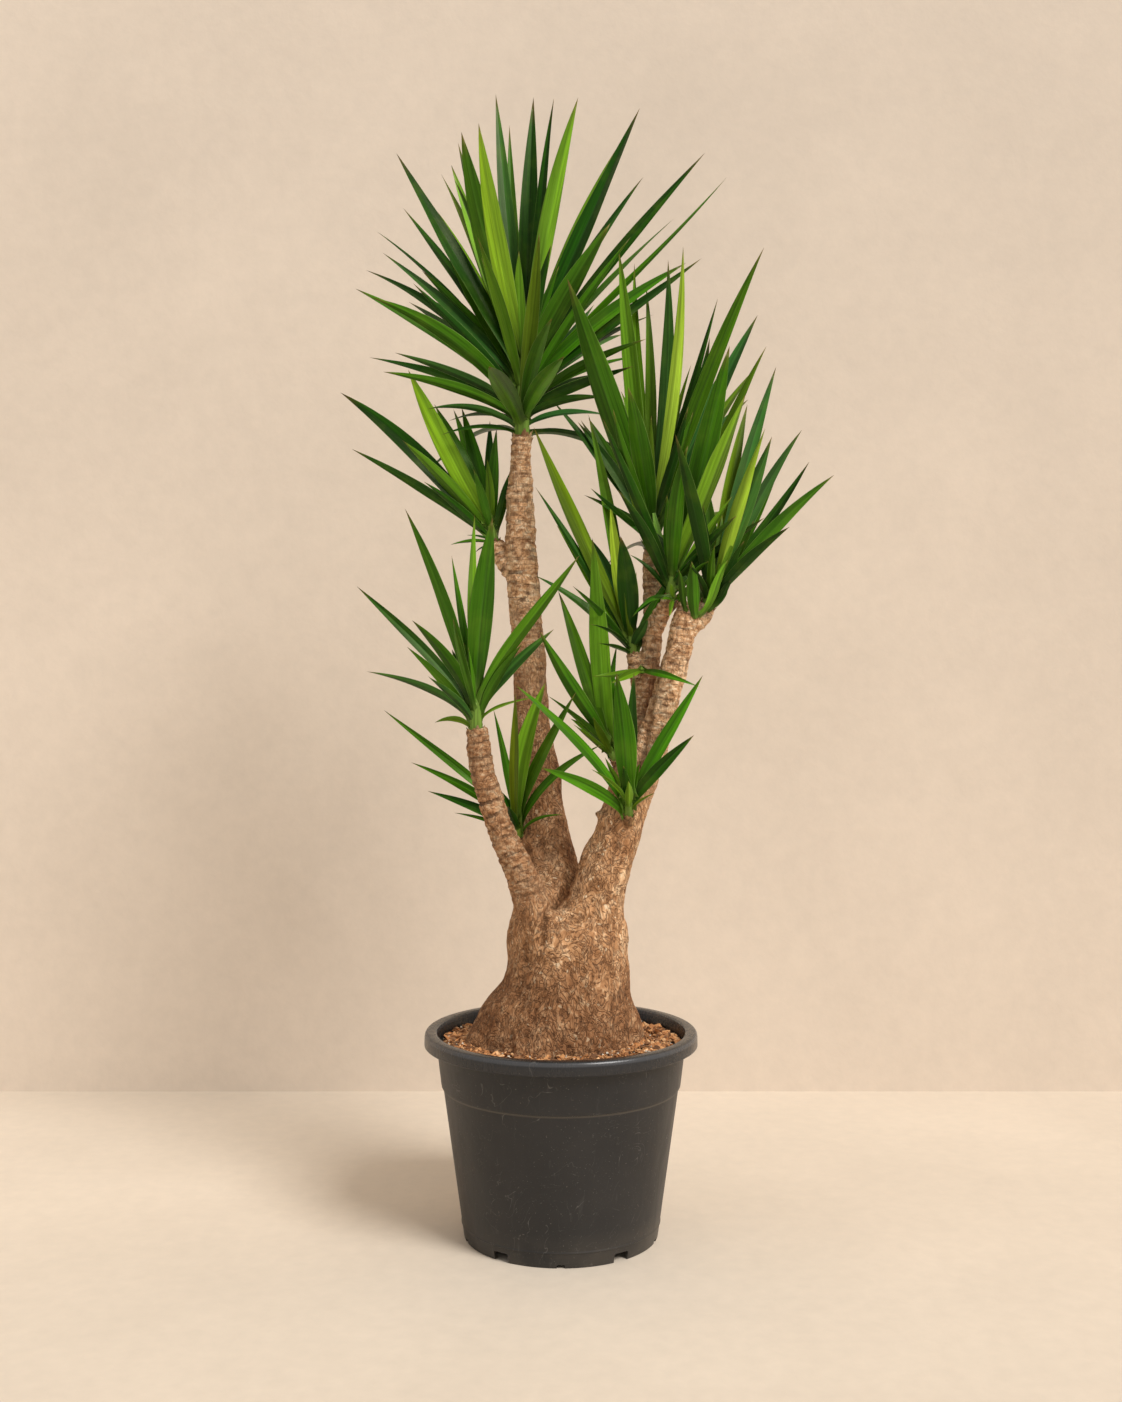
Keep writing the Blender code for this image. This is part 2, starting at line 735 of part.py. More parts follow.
def build_trunk(helpers, seats):
    trunk = add_object("trunk", trunk_mesh("trunk"), "trunk")
    fuse(trunk)
    for seat in seats:
        cut(trunk, seat)
    root_cutter = add_object("root_cutter", trunk_mesh("root_cutter"), "trunk", helpers)
    fuse(root_cutter)
    swell = root_cutter.modifiers.new("swell", "DISPLACE")
    swell.strength = 1.5 * GAP * CM
    swell.mid_level = 0.0
    return trunk, root_cutter


# --- Crowns --------------------------------------------------------------------------------


def crown_frame(crown):
    """The crown's foot, and the direction that it grows in."""
    return place(*crown["foot"]), Vector(crown["grows"]).normalized()


def shoot_rings(crown, extra=0.0):
    """A blunt cone along the crown's axis, from its seat in the bark to its tip."""
    foot, axis = crown_frame(crown)
    length, radius = crown["shoot"]
    profile = [(-SHOOT_SEAT - extra, 0.8)]
    profile += [(share * length, girth) for share, girth in SHOOT_GIRTH]
    profile[-1] = (length + extra, SHOOT_GIRTH[-1][1])
    turned_to = axis.to_track_quat("Z", "X").to_matrix()
    points = []
    for along, share in profile:
        for i in range(SHOOT_SIDES):
            turn = 2 * math.pi * i / SHOOT_SIDES
            spoke = Vector((math.cos(turn), math.sin(turn), 0.0)) * (radius * share + extra)
            points.append(foot + axis * along + turned_to @ spoke)
    return points, len(profile)


def shoot_mesh(name, crown, extra=0.0):
    points, count = shoot_rings(crown, extra)
    return mesh_from(name, points, tube_faces(count, SHOOT_SIDES))


def girth_at(crown, height):
    """The shoot's radius this far above its foot."""
    length, radius = crown["shoot"]
    share = height / length
    for (low, wide), (high, narrow) in zip(SHOOT_GIRTH, SHOOT_GIRTH[1:]):
        if share <= high:
            return radius * (wide + (narrow - wide) * (share - low) / (high - low))
    return radius * SHOOT_GIRTH[-1][1]


def leaf_line(crown, tip, height, bow, twist=0.0):
    """Four control points of a leaf's midrib, from the shoot's side to the tip."""
    foot, axis = crown_frame(crown)
    radius = girth_at(crown, height)
    reach = tip - foot
    outward = (reach - axis * reach.dot(axis)).normalized()
    outward.rotate(Matrix.Rotation(math.radians(twist), 3, axis))
    depth = FLUSH_START if crown.get("leaf_by_leaf") else ROOTED_START
    start = foot + axis * height + outward * radius * depth
    lean = math.degrees(reach.angle(axis))
    run = crown["run"] * max(0.35, 1 - lean / 120)
    turn_out = start + axis * run + outward * (run * lean / 90 + radius * (1 - depth))
    span = tip - turn_out
    lift = (axis - span.normalized() * axis.dot(span.normalized())) * bow
    return start, turn_out, turn_out + span * 0.45 + lift, tip


def along(line, t):
    """A point of the midrib, and the direction that it runs in there."""
    a, b, c, d = line
    s = 1 - t
    point = a * s**3 + b * 3 * s * s * t + c * 3 * s * t * t + d * t**3
    slope = (b - a) * s * s + (c - b) * 2 * s * t + (d - c) * t * t
    return point, slope.normalized()


def blade_width(t, widest, base_width):
    """Narrow above the clasping base, widest past the middle, and drawn out to a sharp tip."""
    base = min(base_width, 0.75 * widest + 0.25)
    swell = math.sin(math.pi * min(t / 1.12, 1.0) ** 0.85)
    return max(base * (1 - t) ** 3 + widest * swell * (1 - 0.55 * t**6), 0.05)


def facing(crown, line):
    """Which way the blade's upper face looks: to the crown's axis, turned partly to the front."""
    _, axis = crown_frame(crown)
    _, slope = along(line, 0.5)
    upper = axis - slope * axis.dot(slope)
    upper = upper.normalized() if upper.length > 0.15 else Vector((0, -1, 0))
    front = Vector((0, -1, 0)) if upper.y <= 0.05 else Vector((0, 1, 0))
    return (upper + front * 0.9).normalized()


def leaf_rings(crown, line, widest, extra=0.0):
    """Points of a folded blade: four to a station, then its tip."""
    look = facing(crown, line)
    base_width = SINGLE_BASE_WIDTH if crown.get("leaf_by_leaf") else BASE_WIDTH
    points = []
    for t in LEAF_STATIONS:
        centre, slope = along(line, t)
        if t == 0:
            centre = centre - slope * extra
        side = slope.cross(look).normalized()
        upper = side.cross(slope).normalized()
        half = blade_width(t, widest, base_width) / 2 + extra
        thick = LEAF_THICKNESS * (1 - 0.5 * t) / 2 + extra
        fold = upper * half * LEAF_FOLD
        points += [
            centre + side * half + fold,
            centre + upper * thick,
            centre - side * half + fold,
            centre - upper * thick,
        ]
    return points + [line[3]]


def leaf_faces():
    """The blade's sides and foot in triangles, since its sections turn and fold."""
    last = 4 * (len(LEAF_STATIONS) - 1)
    faces = [(0, 1, 3), (1, 2, 3)]
    for a, b, c, d in tube_faces(len(LEAF_STATIONS), 4)[1:-1]:
        faces += [(a, b, c), (a, c, d)]
    return faces + [(last + i, last + (i + 1) % 4, last + 4) for i in range(4)]


def solid_tree(points, faces):
    return BVHTree.FromPolygons([Vector(p) for p in points], faces)


def rear_tips(crown, name):
    """Tips of the leaves on the crown's far side, spaced round it by the golden angle."""
    foot, axis = crown_frame(crown)
    chance = random.Random(name)
    low, high = crown.get("rear_lean", (0, 0))
    tips = []
    for k in range(crown["rear_leaves"]):
        share = (k + 0.5) / crown["rear_leaves"]
        turn = math.radians(100) * (((k * GOLDEN_ANGLE / math.pi) % 2) - 1)
        lean = math.radians(low + (high - low) * share)
        length = crown["rear_length"] * chance.uniform(0.8, 1.1)
        width = chance.uniform(1.4, 2.4)
        if k in crown.get("rear_tucked", ()):
            turn *= 0.35
            lean *= 0.5
        around = Vector((math.sin(turn), math.cos(turn), 0.0))
        direction = (axis * math.cos(lean) + around * math.sin(lean)).normalized()
        tips.append((foot + direction * length, width))
    return tips


def crown_leaves(crown, name):
    """(tip, width, bow) of every leaf, the most spreading first."""
    foot, axis = crown_frame(crown)
    back = crown["foot"][2]
    leaves = []
    for across, up, behind, width, *bow in crown["leaves"]:
        leaves.append(((across, up, back + behind), width, bow[0] if bow else 0.0))
    for tip, width in rear_tips(crown, name):
        reach = (VIEW_DISTANCE + tip.y) / VIEW_DISTANCE
        shown = (tip.x / reach, VIEW_HEIGHT + (tip.z - VIEW_HEIGHT) / reach, tip.y)
        leaves.append((shown, width, 0.0))
    return sorted(leaves, key=lambda leaf: -(place(*leaf[0]) - foot).angle(axis))


def grown_leaves(crown, name, blocked, alone):
    """The crown's leaves as point lists, each swung back or forward until it is clear.

    `blocked` holds the trees of all that it has to miss. Where `alone` is true the leaves are
    separate pieces, so each one also has to miss those before it.
    """
    leaves = crown_leaves(crown, name)
    faces = leaf_faces()
    length, _ = crown["shoot"]
    ways = [
        (swing, twist, shift)
        for swing in SWINGS
        for twist in (TWISTS if alone else [0])
        for shift in (SHIFTS if alone else [0])
    ]
    ways.sort(key=lambda way: abs(way[0]) + abs(way[1]) / 9 + abs(way[2]) * 9)
    made, own = [], []
    for rank, (shown, width, bow) in enumerate(leaves):
        height = length * (rank + 0.3) / len(leaves)
        across, up, behind = shown
        others = blocked + (own if alone else [])
        for swing, twist, shift in ways:
            start = min(max(height + shift * length, 0.0), 0.95 * length)
            line = leaf_line(crown, place(across, up, behind + swing), start, bow, twist)
            room = solid_tree(leaf_rings(crown, line, width, CLEARANCE), faces)
            if not any(room.overlap(tree) for tree in others):
                own.append(room)
                made.append((line, width))
                break
    return made, own


def build_crowns(seats, trunk):
    """All the crowns' shoots and leaves, none of which meets another piece.

    A leaf that is a piece of its own ends in a foot that follows its shoot's side.
    """
    graph = bpy.context.evaluated_depsgraph_get()
    scaled = trunk.evaluated_get(graph).to_mesh()
    bark = solid_tree([v.co / CM for v in scaled.vertices], [tuple(p.vertices) for p in scaled.polygons])
    shoots = {}
    for name, crown in CROWNS.items():
        points, count = shoot_rings(crown, GAP)
        shoots[name] = solid_tree(points, tube_faces(count, SHOOT_SIDES))
    grown = {}
    for name, crown in CROWNS.items():
        alone = crown.get("leaf_by_leaf", False)
        others = [tree for other, tree in shoots.items() if other != name]
        others += [tree for trees in grown.values() for tree in trees]
        leaves, grown[name] = grown_leaves(crown, name, [bark] + others, alone)
        if alone:
            add_object(f"{name}_shoot", shoot_mesh(name, crown), "shoot")
        else:
            rosette = add_object(f"{name}_rosette", shoot_mesh(name, crown), "leaf")
            cluster = helper_collection(f"{name}_leaves")
        for k, (line, width) in enumerate(leaves, 1):
            leaf = f"{name}_leaf_{k:02d}"
            mesh = mesh_from(leaf, leaf_rings(crown, line, width), leaf_faces())
            if alone:
                cut(add_object(leaf, mesh, "leaf"), seats[name])
            else:
                cut(rosette, add_object(leaf, mesh, "leaf", cluster), "UNION")


def main():
    clear_scene()
    helpers = helper_collection("helpers")
    seats = {}
    for name, crown in CROWNS.items():
        mesh = shoot_mesh(f"{name}_seat", crown, GAP)
        seats[name] = add_object(f"{name}_seat", mesh, "shoot", helpers)
    trunk, root_cutter = build_trunk(helpers, seats.values())
    build_pot(helpers)
    build_filling(root_cutter)
    bpy.context.view_layer.update()
    build_crowns(seats, trunk)


main()
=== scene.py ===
"""Dressed scene of the potted yucca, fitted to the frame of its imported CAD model.

The plant stands on its pot with the origin under the pot's middle, +Z up and its front to -Y.
Lengths are in centimetres until a mesh is made, where CM turns them into metres.
"""

import logging
import math
import random
from dataclasses import dataclass, field
from enum import Enum
from functools import cache
from math import cos, pi, radians, sin
from typing import Iterable, Sequence

import bmesh
import bpy
import numpy as np
from bpy.types import Material, Mesh, Node, NodeSocket, Object
from mathutils import Matrix, Vector, kdtree, noise


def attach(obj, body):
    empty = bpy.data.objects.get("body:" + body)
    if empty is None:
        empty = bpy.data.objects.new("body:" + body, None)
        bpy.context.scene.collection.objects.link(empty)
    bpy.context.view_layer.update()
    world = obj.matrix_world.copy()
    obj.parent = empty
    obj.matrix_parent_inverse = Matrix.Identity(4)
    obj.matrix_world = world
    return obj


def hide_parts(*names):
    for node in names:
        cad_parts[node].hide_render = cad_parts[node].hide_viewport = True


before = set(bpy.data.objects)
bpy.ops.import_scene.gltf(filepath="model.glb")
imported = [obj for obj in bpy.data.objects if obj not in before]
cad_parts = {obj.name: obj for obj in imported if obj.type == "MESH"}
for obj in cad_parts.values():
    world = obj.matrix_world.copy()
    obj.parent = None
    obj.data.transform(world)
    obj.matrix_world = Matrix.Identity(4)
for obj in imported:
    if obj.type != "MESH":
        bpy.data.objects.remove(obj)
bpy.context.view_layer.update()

log = logging.getLogger("yucca")

CM = 0.01
BODY = "root"
VIEW_DISTANCE = 228.0  # of the viewpoint in front of the pot's axis
VIEW_HEIGHT = 82.0
GOLDEN_ANGLE = radians(137.5)

Colour = tuple[float, float, float]
Point = tuple[float, float, float]


def shade(red: int, green: int, blue: int) -> Colour:
    """Turns a paint-chart colour, from 0 to 255, into the linear values that shaders take."""
    parts = (red / 255, green / 255, blue / 255)
    return tuple(v / 12.92 if v <= 0.04045 else ((v + 0.055) / 1.055) ** 2.4 for v in parts)


def place(across: float, up: float, back: float) -> Vector:
    """Sets a point of the front elevation back along its line of sight."""
    reach = (VIEW_DISTANCE + back) / VIEW_DISTANCE
    return Vector((across * reach, back, VIEW_HEIGHT + (up - VIEW_HEIGHT) * reach))


def smooth_points(knots: Sequence[tuple], steps: int) -> list[tuple]:
    """Runs a Catmull-Rom curve through knots of any dimension.

    Args:
        knots: The points that the curve passes through.
        steps: How many points it gets to each span.

    Returns:
        The curve's points, the last knot included.
    """
    rows = [tuple(2 * a - b for a, b in zip(knots[0], knots[1]))] + list(knots)
    rows.append(tuple(2 * a - b for a, b in zip(knots[-1], knots[-2])))
    made = []
    for k in range(1, len(rows) - 2):
        for step in range(steps):
            t = step / steps
            made.append(
                tuple(
                    0.5 * (2 * b + (c - a) * t + (2 * a - 5 * b + 4 * c - d) * t**2
                           + (3 * b - a - 3 * c + d) * t**3)
                    for a, b, c, d in zip(rows[k - 1], rows[k], rows[k + 1], rows[k + 2])
                )
            )
    made.append(tuple(knots[-1]))
    return made


def steps_between(values: np.ndarray | float, low: float, high: float) -> np.ndarray:
    """Smooth rise from 0 at low to 1 at high."""
    share = np.clip((values - low) / (high - low), 0.0, 1.0)
    return share * share * (3 - 2 * share)


class Grain(Enum):
    """What an attribute holds at each vertex."""

    NUMBER = "FLOAT"
    VECTOR = "FLOAT_VECTOR"
    COLOUR = "FLOAT_COLOR"

    @property
    def field(self) -> str:
        """Name of the field that holds it."""
        return {"FLOAT": "value", "FLOAT_VECTOR": "vector", "FLOAT_COLOR": "color"}[self.value]


@dataclass
class Shape:
    """Vertices and faces of a piece while it is put together, in centimetres."""

    points: list[np.ndarray] = field(default_factory=list)
    faces: list[tuple[int, ...]] = field(default_factory=list)
    flat: list[bool] = field(default_factory=list)
    layers: dict[str, list[np.ndarray]] = field(default_factory=dict)
    count: int = 0

    def add(
        self,
        points: np.ndarray,
        faces: Iterable[tuple[int, ...]],
        flat: Iterable[bool],
        **layers: np.ndarray,
    ) -> None:
        """Adds one part of the piece.

        Args:
            points: Its vertices, one to a row.
            faces: Its faces, counted from its own first vertex.
            flat: For each face, whether it is shaded flat.
            **layers: What each attribute holds at each of its vertices.
        """
        self.faces += [tuple(i + self.count for i in face) for face in faces]
        self.flat += list(flat)
        self.points.append(np.asarray(points, float))
        for name, values in layers.items():
            self.layers.setdefault(name, []).append(np.asarray(values, float))
        self.count += len(points)

    def piece(self, name: str, finish: Material, kinds: dict[str, Grain]) -> Object:
        """Makes the object and lets it ride on the plant's body.

        Args:
            name: Name of the object.
            finish: Its material.
            kinds: What each attribute holds.

        Returns:
            The new object.
        """
        mesh = bpy.data.meshes.new(name)
        mesh.from_pydata((np.vstack(self.points) * CM).tolist(), [], self.faces)
        mesh.polygons.foreach_set("use_smooth", [not is_flat for is_flat in self.flat])
        for layer, parts in self.layers.items():
            made = mesh.attributes.new(layer, kinds[layer].value, "POINT")
            values = np.concatenate(parts).astype(np.float32).ravel()
            made.data.foreach_set(kinds[layer].field, values)
        mesh.materials.append(finish)
        mesh.validate()
        return on_plant(name, mesh)


def stood(name: str, data: bpy.types.ID) -> Object:
    """Puts a mesh, lamp or camera in the scene.

    Args:
        name: Name of the object.
        data: What it shows.

    Returns:
        The new object.
    """
    made = bpy.data.objects.new(name, data)
    bpy.context.scene.collection.objects.link(made)
    return made


def on_plant(name: str, mesh: Mesh) -> Object:
    """Puts a mesh in the scene as a piece of the plant.

    Args:
        name: Name of the object.
        mesh: Its mesh, in metres.

    Returns:
        The new object.
    """
    made = stood(name, mesh)
    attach(made, BODY)
    return made


class Mixing(Enum):
    """How two colours are mixed."""

    MIX = "MIX"
    MULTIPLY = "MULTIPLY"


class Sum(Enum):
    """What is done with one number or two."""

    PLUS = "ADD"
    LESS = "SUBTRACT"
    TIMES = "MULTIPLY"
    LARGER = "MAXIMUM"
    SIZE = "ABSOLUTE"
    FRACTION = "FRACT"


class Graph:
    """Node tree of one material, with short ways to add and join its nodes."""

    def __init__(self, name: str) -> None:
        """Starts a material whose surface is a Principled shader.

        Args:
            name: Name of the material.
        """
        self.material = bpy.data.materials.new(name)
        self.material.use_nodes = True
        self.tree = self.material.node_tree
        self.shader = self.tree.nodes["Principled BSDF"]
        self.output = self.tree.nodes["Material Output"]

    def link(self, source: NodeSocket, target: NodeSocket) -> None:
        """Joins two sockets."""
        self.tree.links.new(source, target)

    def node(self, kind: str, settings: dict | None = None, **inputs: object) -> Node:
        """Adds a node.

        Args:
            kind: Its type, without ShaderNode in front.
            settings: Its properties.
            **inputs: Values of its inputs, or sockets that feed them. An underscore stands for
                a space, and an input known only by its place is written as in_0.

        Returns:
            The new node.
        """
        made = self.tree.nodes.new("ShaderNode" + kind)
        for key, value in (settings or {}).items():
            setattr(made, key, value)
        for key, value in inputs.items():
            where = int(key[3:]) if key.startswith("in_") else key.replace("_", " ")
            if isinstance(value, NodeSocket):
                self.link(value, made.inputs[where])
            else:
                made.inputs[where].default_value = value
        return made

    def attribute(self, name: str, output: str = "Fac") -> NodeSocket:
        """Socket that reads a mesh attribute."""
        return self.node("Attribute", {"attribute_name": name}).outputs[output]

    def place(self) -> NodeSocket:
        """Socket with the place on the object, in metres."""
        return self.node("TexCoord").outputs["Object"]

    def noise(
        self, where: NodeSocket, scale: float, detail: float = 3.0, rough: float = 0.55,
        warp: float = 0.0,
    ) -> NodeSocket:
        """Cloudy noise from 0 to 1, with finer layers in it and folded over itself by the warp."""
        inputs = {"Scale": scale, "Detail": detail, "Roughness": rough, "Distortion": warp}
        return self.node("TexNoise", Vector=where, **inputs).outputs["Fac"]

    def veins(
        self, where: NodeSocket, scale: float, wide: float, warp: float = 1.0, steps: float = 1.0
    ) -> NodeSocket:
        """Thin winding lines, 1 on a line and 0 away from it.

        Args:
            where: Socket with the place.
            scale: How fine the noise is that they follow.
            wide: Their width, as a share of the way from one to the next.
            warp: How far they fold over themselves.
            steps: How many run side by side, like the contours of a map.

        Returns:
            Socket with the lines.
        """
        height = self.times(self.noise(where, scale, 2.0, 0.5, warp), steps)
        away = self.sum(Sum.SIZE, self.sum(Sum.LESS, self.sum(Sum.FRACTION, height), 0.5))
        return self.span(away, 0.0, wide, 1.0, 0.0)

    def stretch(self, where: NodeSocket, along: Point) -> NodeSocket:
        """Scales a place by a share along each axis."""
        return self.node("VectorMath", {"operation": "MULTIPLY"}, in_0=where, in_1=along).outputs[0]

    def ramp(
        self, source: NodeSocket, stops: Sequence[tuple[float, Colour | float]]
    ) -> NodeSocket:
        """Colour ramp.

        Args:
            source: Socket that drives it.
            stops: Place and colour, or grey level, of each stop.

        Returns:
            Socket with the colour.
        """
        made = self.node("ValToRGB", in_0=source)
        marks = made.color_ramp.elements
        while len(marks) < len(stops):
            marks.new(0.5)
        for mark, (at, value) in zip(marks, stops):
            mark.position = at
            mark.color = (*((value,) * 3 if isinstance(value, (int, float)) else value), 1.0)
        return made.outputs["Color"]

    def blend(
        self, share: NodeSocket | float, low: object, high: object, how: Mixing = Mixing.MIX
    ) -> NodeSocket:
        """Mixes two colours.

        Args:
            share: How much of the second there is.
            low: First colour or socket.
            high: Second colour or socket.
            how: How they are mixed.

        Returns:
            Socket with the mixed colour.
        """
        made = self.node("Mix", {"data_type": "RGBA", "blend_type": how.value}, in_0=share)
        for number, value in ((6, low), (7, high)):
            if isinstance(value, NodeSocket):
                self.link(value, made.inputs[number])
            else:
                made.inputs[number].default_value = (*value, 1.0)
        return made.outputs[2]

    def tint(self, colour: NodeSocket, by: object, share: float = 1.0) -> NodeSocket:
        """Multiplies a colour by another, or by a share of it."""
        return self.blend(share, colour, by, Mixing.MULTIPLY)

    def sum(self, how: Sum, first: object, second: object = 0.0) -> NodeSocket:
        """Arithmetic on one or two numbers."""
        return self.node("Math", {"operation": how.value}, in_0=first, in_1=second).outputs[0]

    def times(self, first: NodeSocket, second: object) -> NodeSocket:
        """Product of two numbers."""
        return self.sum(Sum.TIMES, first, second)

    def span(
        self, source: NodeSocket, low: float, high: float, to_low: float = 0.0,
        to_high: float = 1.0,
    ) -> NodeSocket:
        """Maps a range onto another, without going past its ends."""
        return self.node("MapRange", in_0=source, in_1=low, in_2=high, in_3=to_low, in_4=to_high).outputs[0]

    def relief(self, height: NodeSocket, strength: float, depth: float) -> None:
        """Raises the surface's grain by a height from 0 to 1, and a depth in metres."""
        bump = self.node("Bump", Height=height, Strength=strength, Distance=depth)
        self.link(bump.outputs[0], self.shader.inputs["Normal"])

    def look(self, colour: NodeSocket, rough: NodeSocket) -> None:
        """Joins the colour and roughness to the shader."""
        self.link(colour, self.shader.inputs["Base Color"])
        self.link(rough, self.shader.inputs["Roughness"])


# --- Finishes --------------------------------------------------------------------------------


class Tone(Enum):
    """Colour of a grown leaf."""

    DARK = shade(28, 68, 5)
    MID = shade(58, 106, 8)
    OLIVE = shade(86, 118, 14)
    LIGHT = shade(102, 150, 30)
    YELLOW = shade(152, 184, 52)
    BRIGHT = shade(132, 178, 34)
    BLUE = shade(50, 92, 34)


PALE_BASE = shade(118, 150, 62)
DRIED_TIP = shade(126, 96, 54)
PALE_MARGIN = shade(150, 176, 92)


@dataclass(frozen=True)
class LeafFinish:
    """Waxy leaf skin with fine streaks along the blade, which lets some light through."""

    gloss: float = 0.33
    sheen: float = 0.19
    see_through: float = 0.12

    def material(self) -> Material:
        """Makes the material, whose colour comes from each blade's own.

        Returns:
            The material.
        """
        graph = Graph("yucca_leaf")
        colour = graph.attribute("blade_colour", "Color")
        where = graph.attribute("blade_place", "Vector")
        fine = graph.noise(graph.stretch(where, (13.0, 0.22, 3.0)), 1.0, 3.0, 0.6)
        broad = graph.noise(graph.stretch(where, (3.2, 0.07, 3.0)), 1.0, 2.0, 0.5)
        cloud = graph.noise(graph.place(), 22.0, 3.0, 0.6)
        shown = graph.tint(colour, graph.ramp(fine, [(0.3, 0.8), (0.7, 1.17)]))
        shown = graph.tint(shown, graph.ramp(broad, [(0.32, 0.7), (0.68, 1.3)]))
        shown = graph.blend(graph.span(cloud, 0.5, 0.8, 0.0, 0.16), shown, shade(140, 170, 50))
        graph.look(shown, graph.span(fine, 0.3, 0.7, self.gloss - 0.06, self.gloss + 0.09))
        graph.shader.inputs["Specular IOR Level"].default_value = self.sheen
        graph.shader.inputs["Specular Tint"].default_value = (0.9, 1.0, 0.6, 1.0)
        graph.relief(fine, 0.35, 0.0004)
        glow = graph.node("BsdfTranslucent", Color=shown)
        parts = (graph.shader.outputs[0], glow.outputs[0])
        mixed = graph.node("MixShader", in_0=self.see_through, in_1=parts[0], in_2=parts[1])
        graph.link(mixed.outputs[0], graph.output.inputs["Surface"])
        return graph.material


@dataclass(frozen=True)
class BarkFinish:
    """Corky old bark that turns into ringed young bark up the stems."""

    rough: float = 0.86

    def old(self, graph: Graph, crest: NodeSocket) -> NodeSocket:
        """Colours the corky bark of the foot.

        Args:
            graph: The material's nodes.
            crest: Socket that is 0 in the fissures and 1 on the ridges.

        Returns:
            Socket with the colour.
        """
        where = graph.stretch(graph.place(), (1.0, 1.0, 0.7))
        swirl = graph.noise(where, 95.0, 3.0, 0.55, 1.2)
        cloud = graph.noise(graph.place(), 17.0, 3.0, 0.6)
        tone = graph.sum(Sum.PLUS, graph.times(swirl, 0.75), graph.times(crest, 0.25))
        colour = graph.ramp(
            tone,
            [(0.36, shade(162, 117, 78)), (0.48, shade(204, 154, 109)), (0.56, shade(224, 176, 131)),
             (0.66, shade(248, 211, 167))],
        )
        colour = graph.blend(graph.span(cloud, 0.45, 0.62, 0.0, 0.55), colour, shade(150, 100, 60))
        colour = graph.blend(graph.span(cloud, 0.45, 0.32, 0.0, 0.4), colour, shade(196, 170, 138))
        folds = graph.times(graph.veins(where, 26.0, 0.2, 1.4, 9.0), graph.span(swirl, 0.35, 0.6))
        colour = graph.blend(graph.times(folds, 0.7), colour, shade(92, 58, 36))
        fleck = graph.noise(graph.place(), 120.0, 1.0, 0.5, 0.3)
        colour = graph.blend(graph.span(fleck, 0.7, 0.74, 0.0, 0.8), colour, shade(240, 214, 178))
        cracks = graph.veins(where, 60.0, 0.045, 2.4)
        return graph.blend(graph.times(cracks, 0.8), colour, shade(74, 46, 28))

    def young(self, graph: Graph, crest: NodeSocket) -> NodeSocket:
        """Colours the young bark, with a dark line under each leaf scar.

        Args:
            graph: The material's nodes.
            crest: Socket that is 0 in the fissures and 1 on the ridges.

        Returns:
            Socket with the colour.
        """
        where = graph.place()
        grain = graph.noise(graph.stretch(where, (1.0, 1.0, 1.8)), 110.0, 2.0, 0.5)
        cloud = graph.noise(where, 30.0, 3.0, 0.55)
        tone = graph.sum(Sum.PLUS, graph.times(grain, 0.8), graph.times(crest, 0.2))
        colour = graph.ramp(
            tone,
            [(0.34, shade(158, 112, 74)), (0.46, shade(206, 158, 114)), (0.56, shade(230, 184, 140)),
             (0.66, shade(250, 220, 182))],
        )
        colour = graph.blend(graph.span(cloud, 0.5, 0.68, 0.0, 0.45), colour, shade(240, 212, 174))
        for name, strength in (("ring_count", 1.0), ("scar_count", 0.7)):
            phase = graph.sum(Sum.FRACTION, graph.attribute(name))
            line = graph.ramp(
                phase, [(0.0, 0.4), (0.08, 0.5), (0.15, 0.97), (0.3, 1.08), (0.93, 0.99), (1.0, 0.5)]
            )
            share = graph.times(graph.span(graph.noise(where, 45.0, 1.0), 0.3, 0.5), strength)
            colour = graph.blend(share, colour, graph.tint(colour, line))
        cracks = graph.veins(graph.stretch(where, (1.0, 1.0, 0.45)), 70.0, 0.06, 1.4)
        return graph.blend(graph.times(cracks, 0.55), colour, shade(106, 70, 46))

    def material(self) -> Material:
        """Makes the material, which reads the bark's age from the mesh.

        Returns:
            The material.
        """
        graph = Graph("yucca_bark")
        crest = graph.attribute("bark_crest")
        youth = graph.attribute("bark_youth")
        colour = graph.blend(youth, self.old(graph, crest), self.young(graph, crest))
        # Darkens the bark where the mesh says: painted shade on the stems, and darker towards the soil on
        # the foot.
        darkened = graph.tint(colour, shade(206, 196, 188))
        colour = graph.blend(graph.attribute("bark_darkening"), colour, darkened)
        # Darker in the bark's fissures, and painted shade in the front's folds, where the crest is lowered.
        groove_and_fold_shade = graph.ramp(crest, [(0.0, 0.42), (0.3, 0.92), (0.6, 1.04)])
        colour = graph.tint(colour, groove_and_fold_shade)
        where = graph.stretch(graph.place(), (1.0, 1.0, 0.7))
        grain = graph.noise(where, 95.0, 3.0, 0.55, 1.2)
        folds = graph.veins(where, 26.0, 0.2, 1.4, 9.0)
        cracks = graph.sum(Sum.LARGER, folds, graph.veins(where, 60.0, 0.06, 2.4))
        height = graph.sum(Sum.LESS, grain, graph.times(cracks, 0.3))
        graph.look(colour, graph.span(grain, 0.2, 0.8, self.rough - 0.12, self.rough + 0.1))
        graph.shader.inputs["Specular IOR Level"].default_value = 0.25
        graph.relief(height, 1.0, 0.0034)
        return graph.material


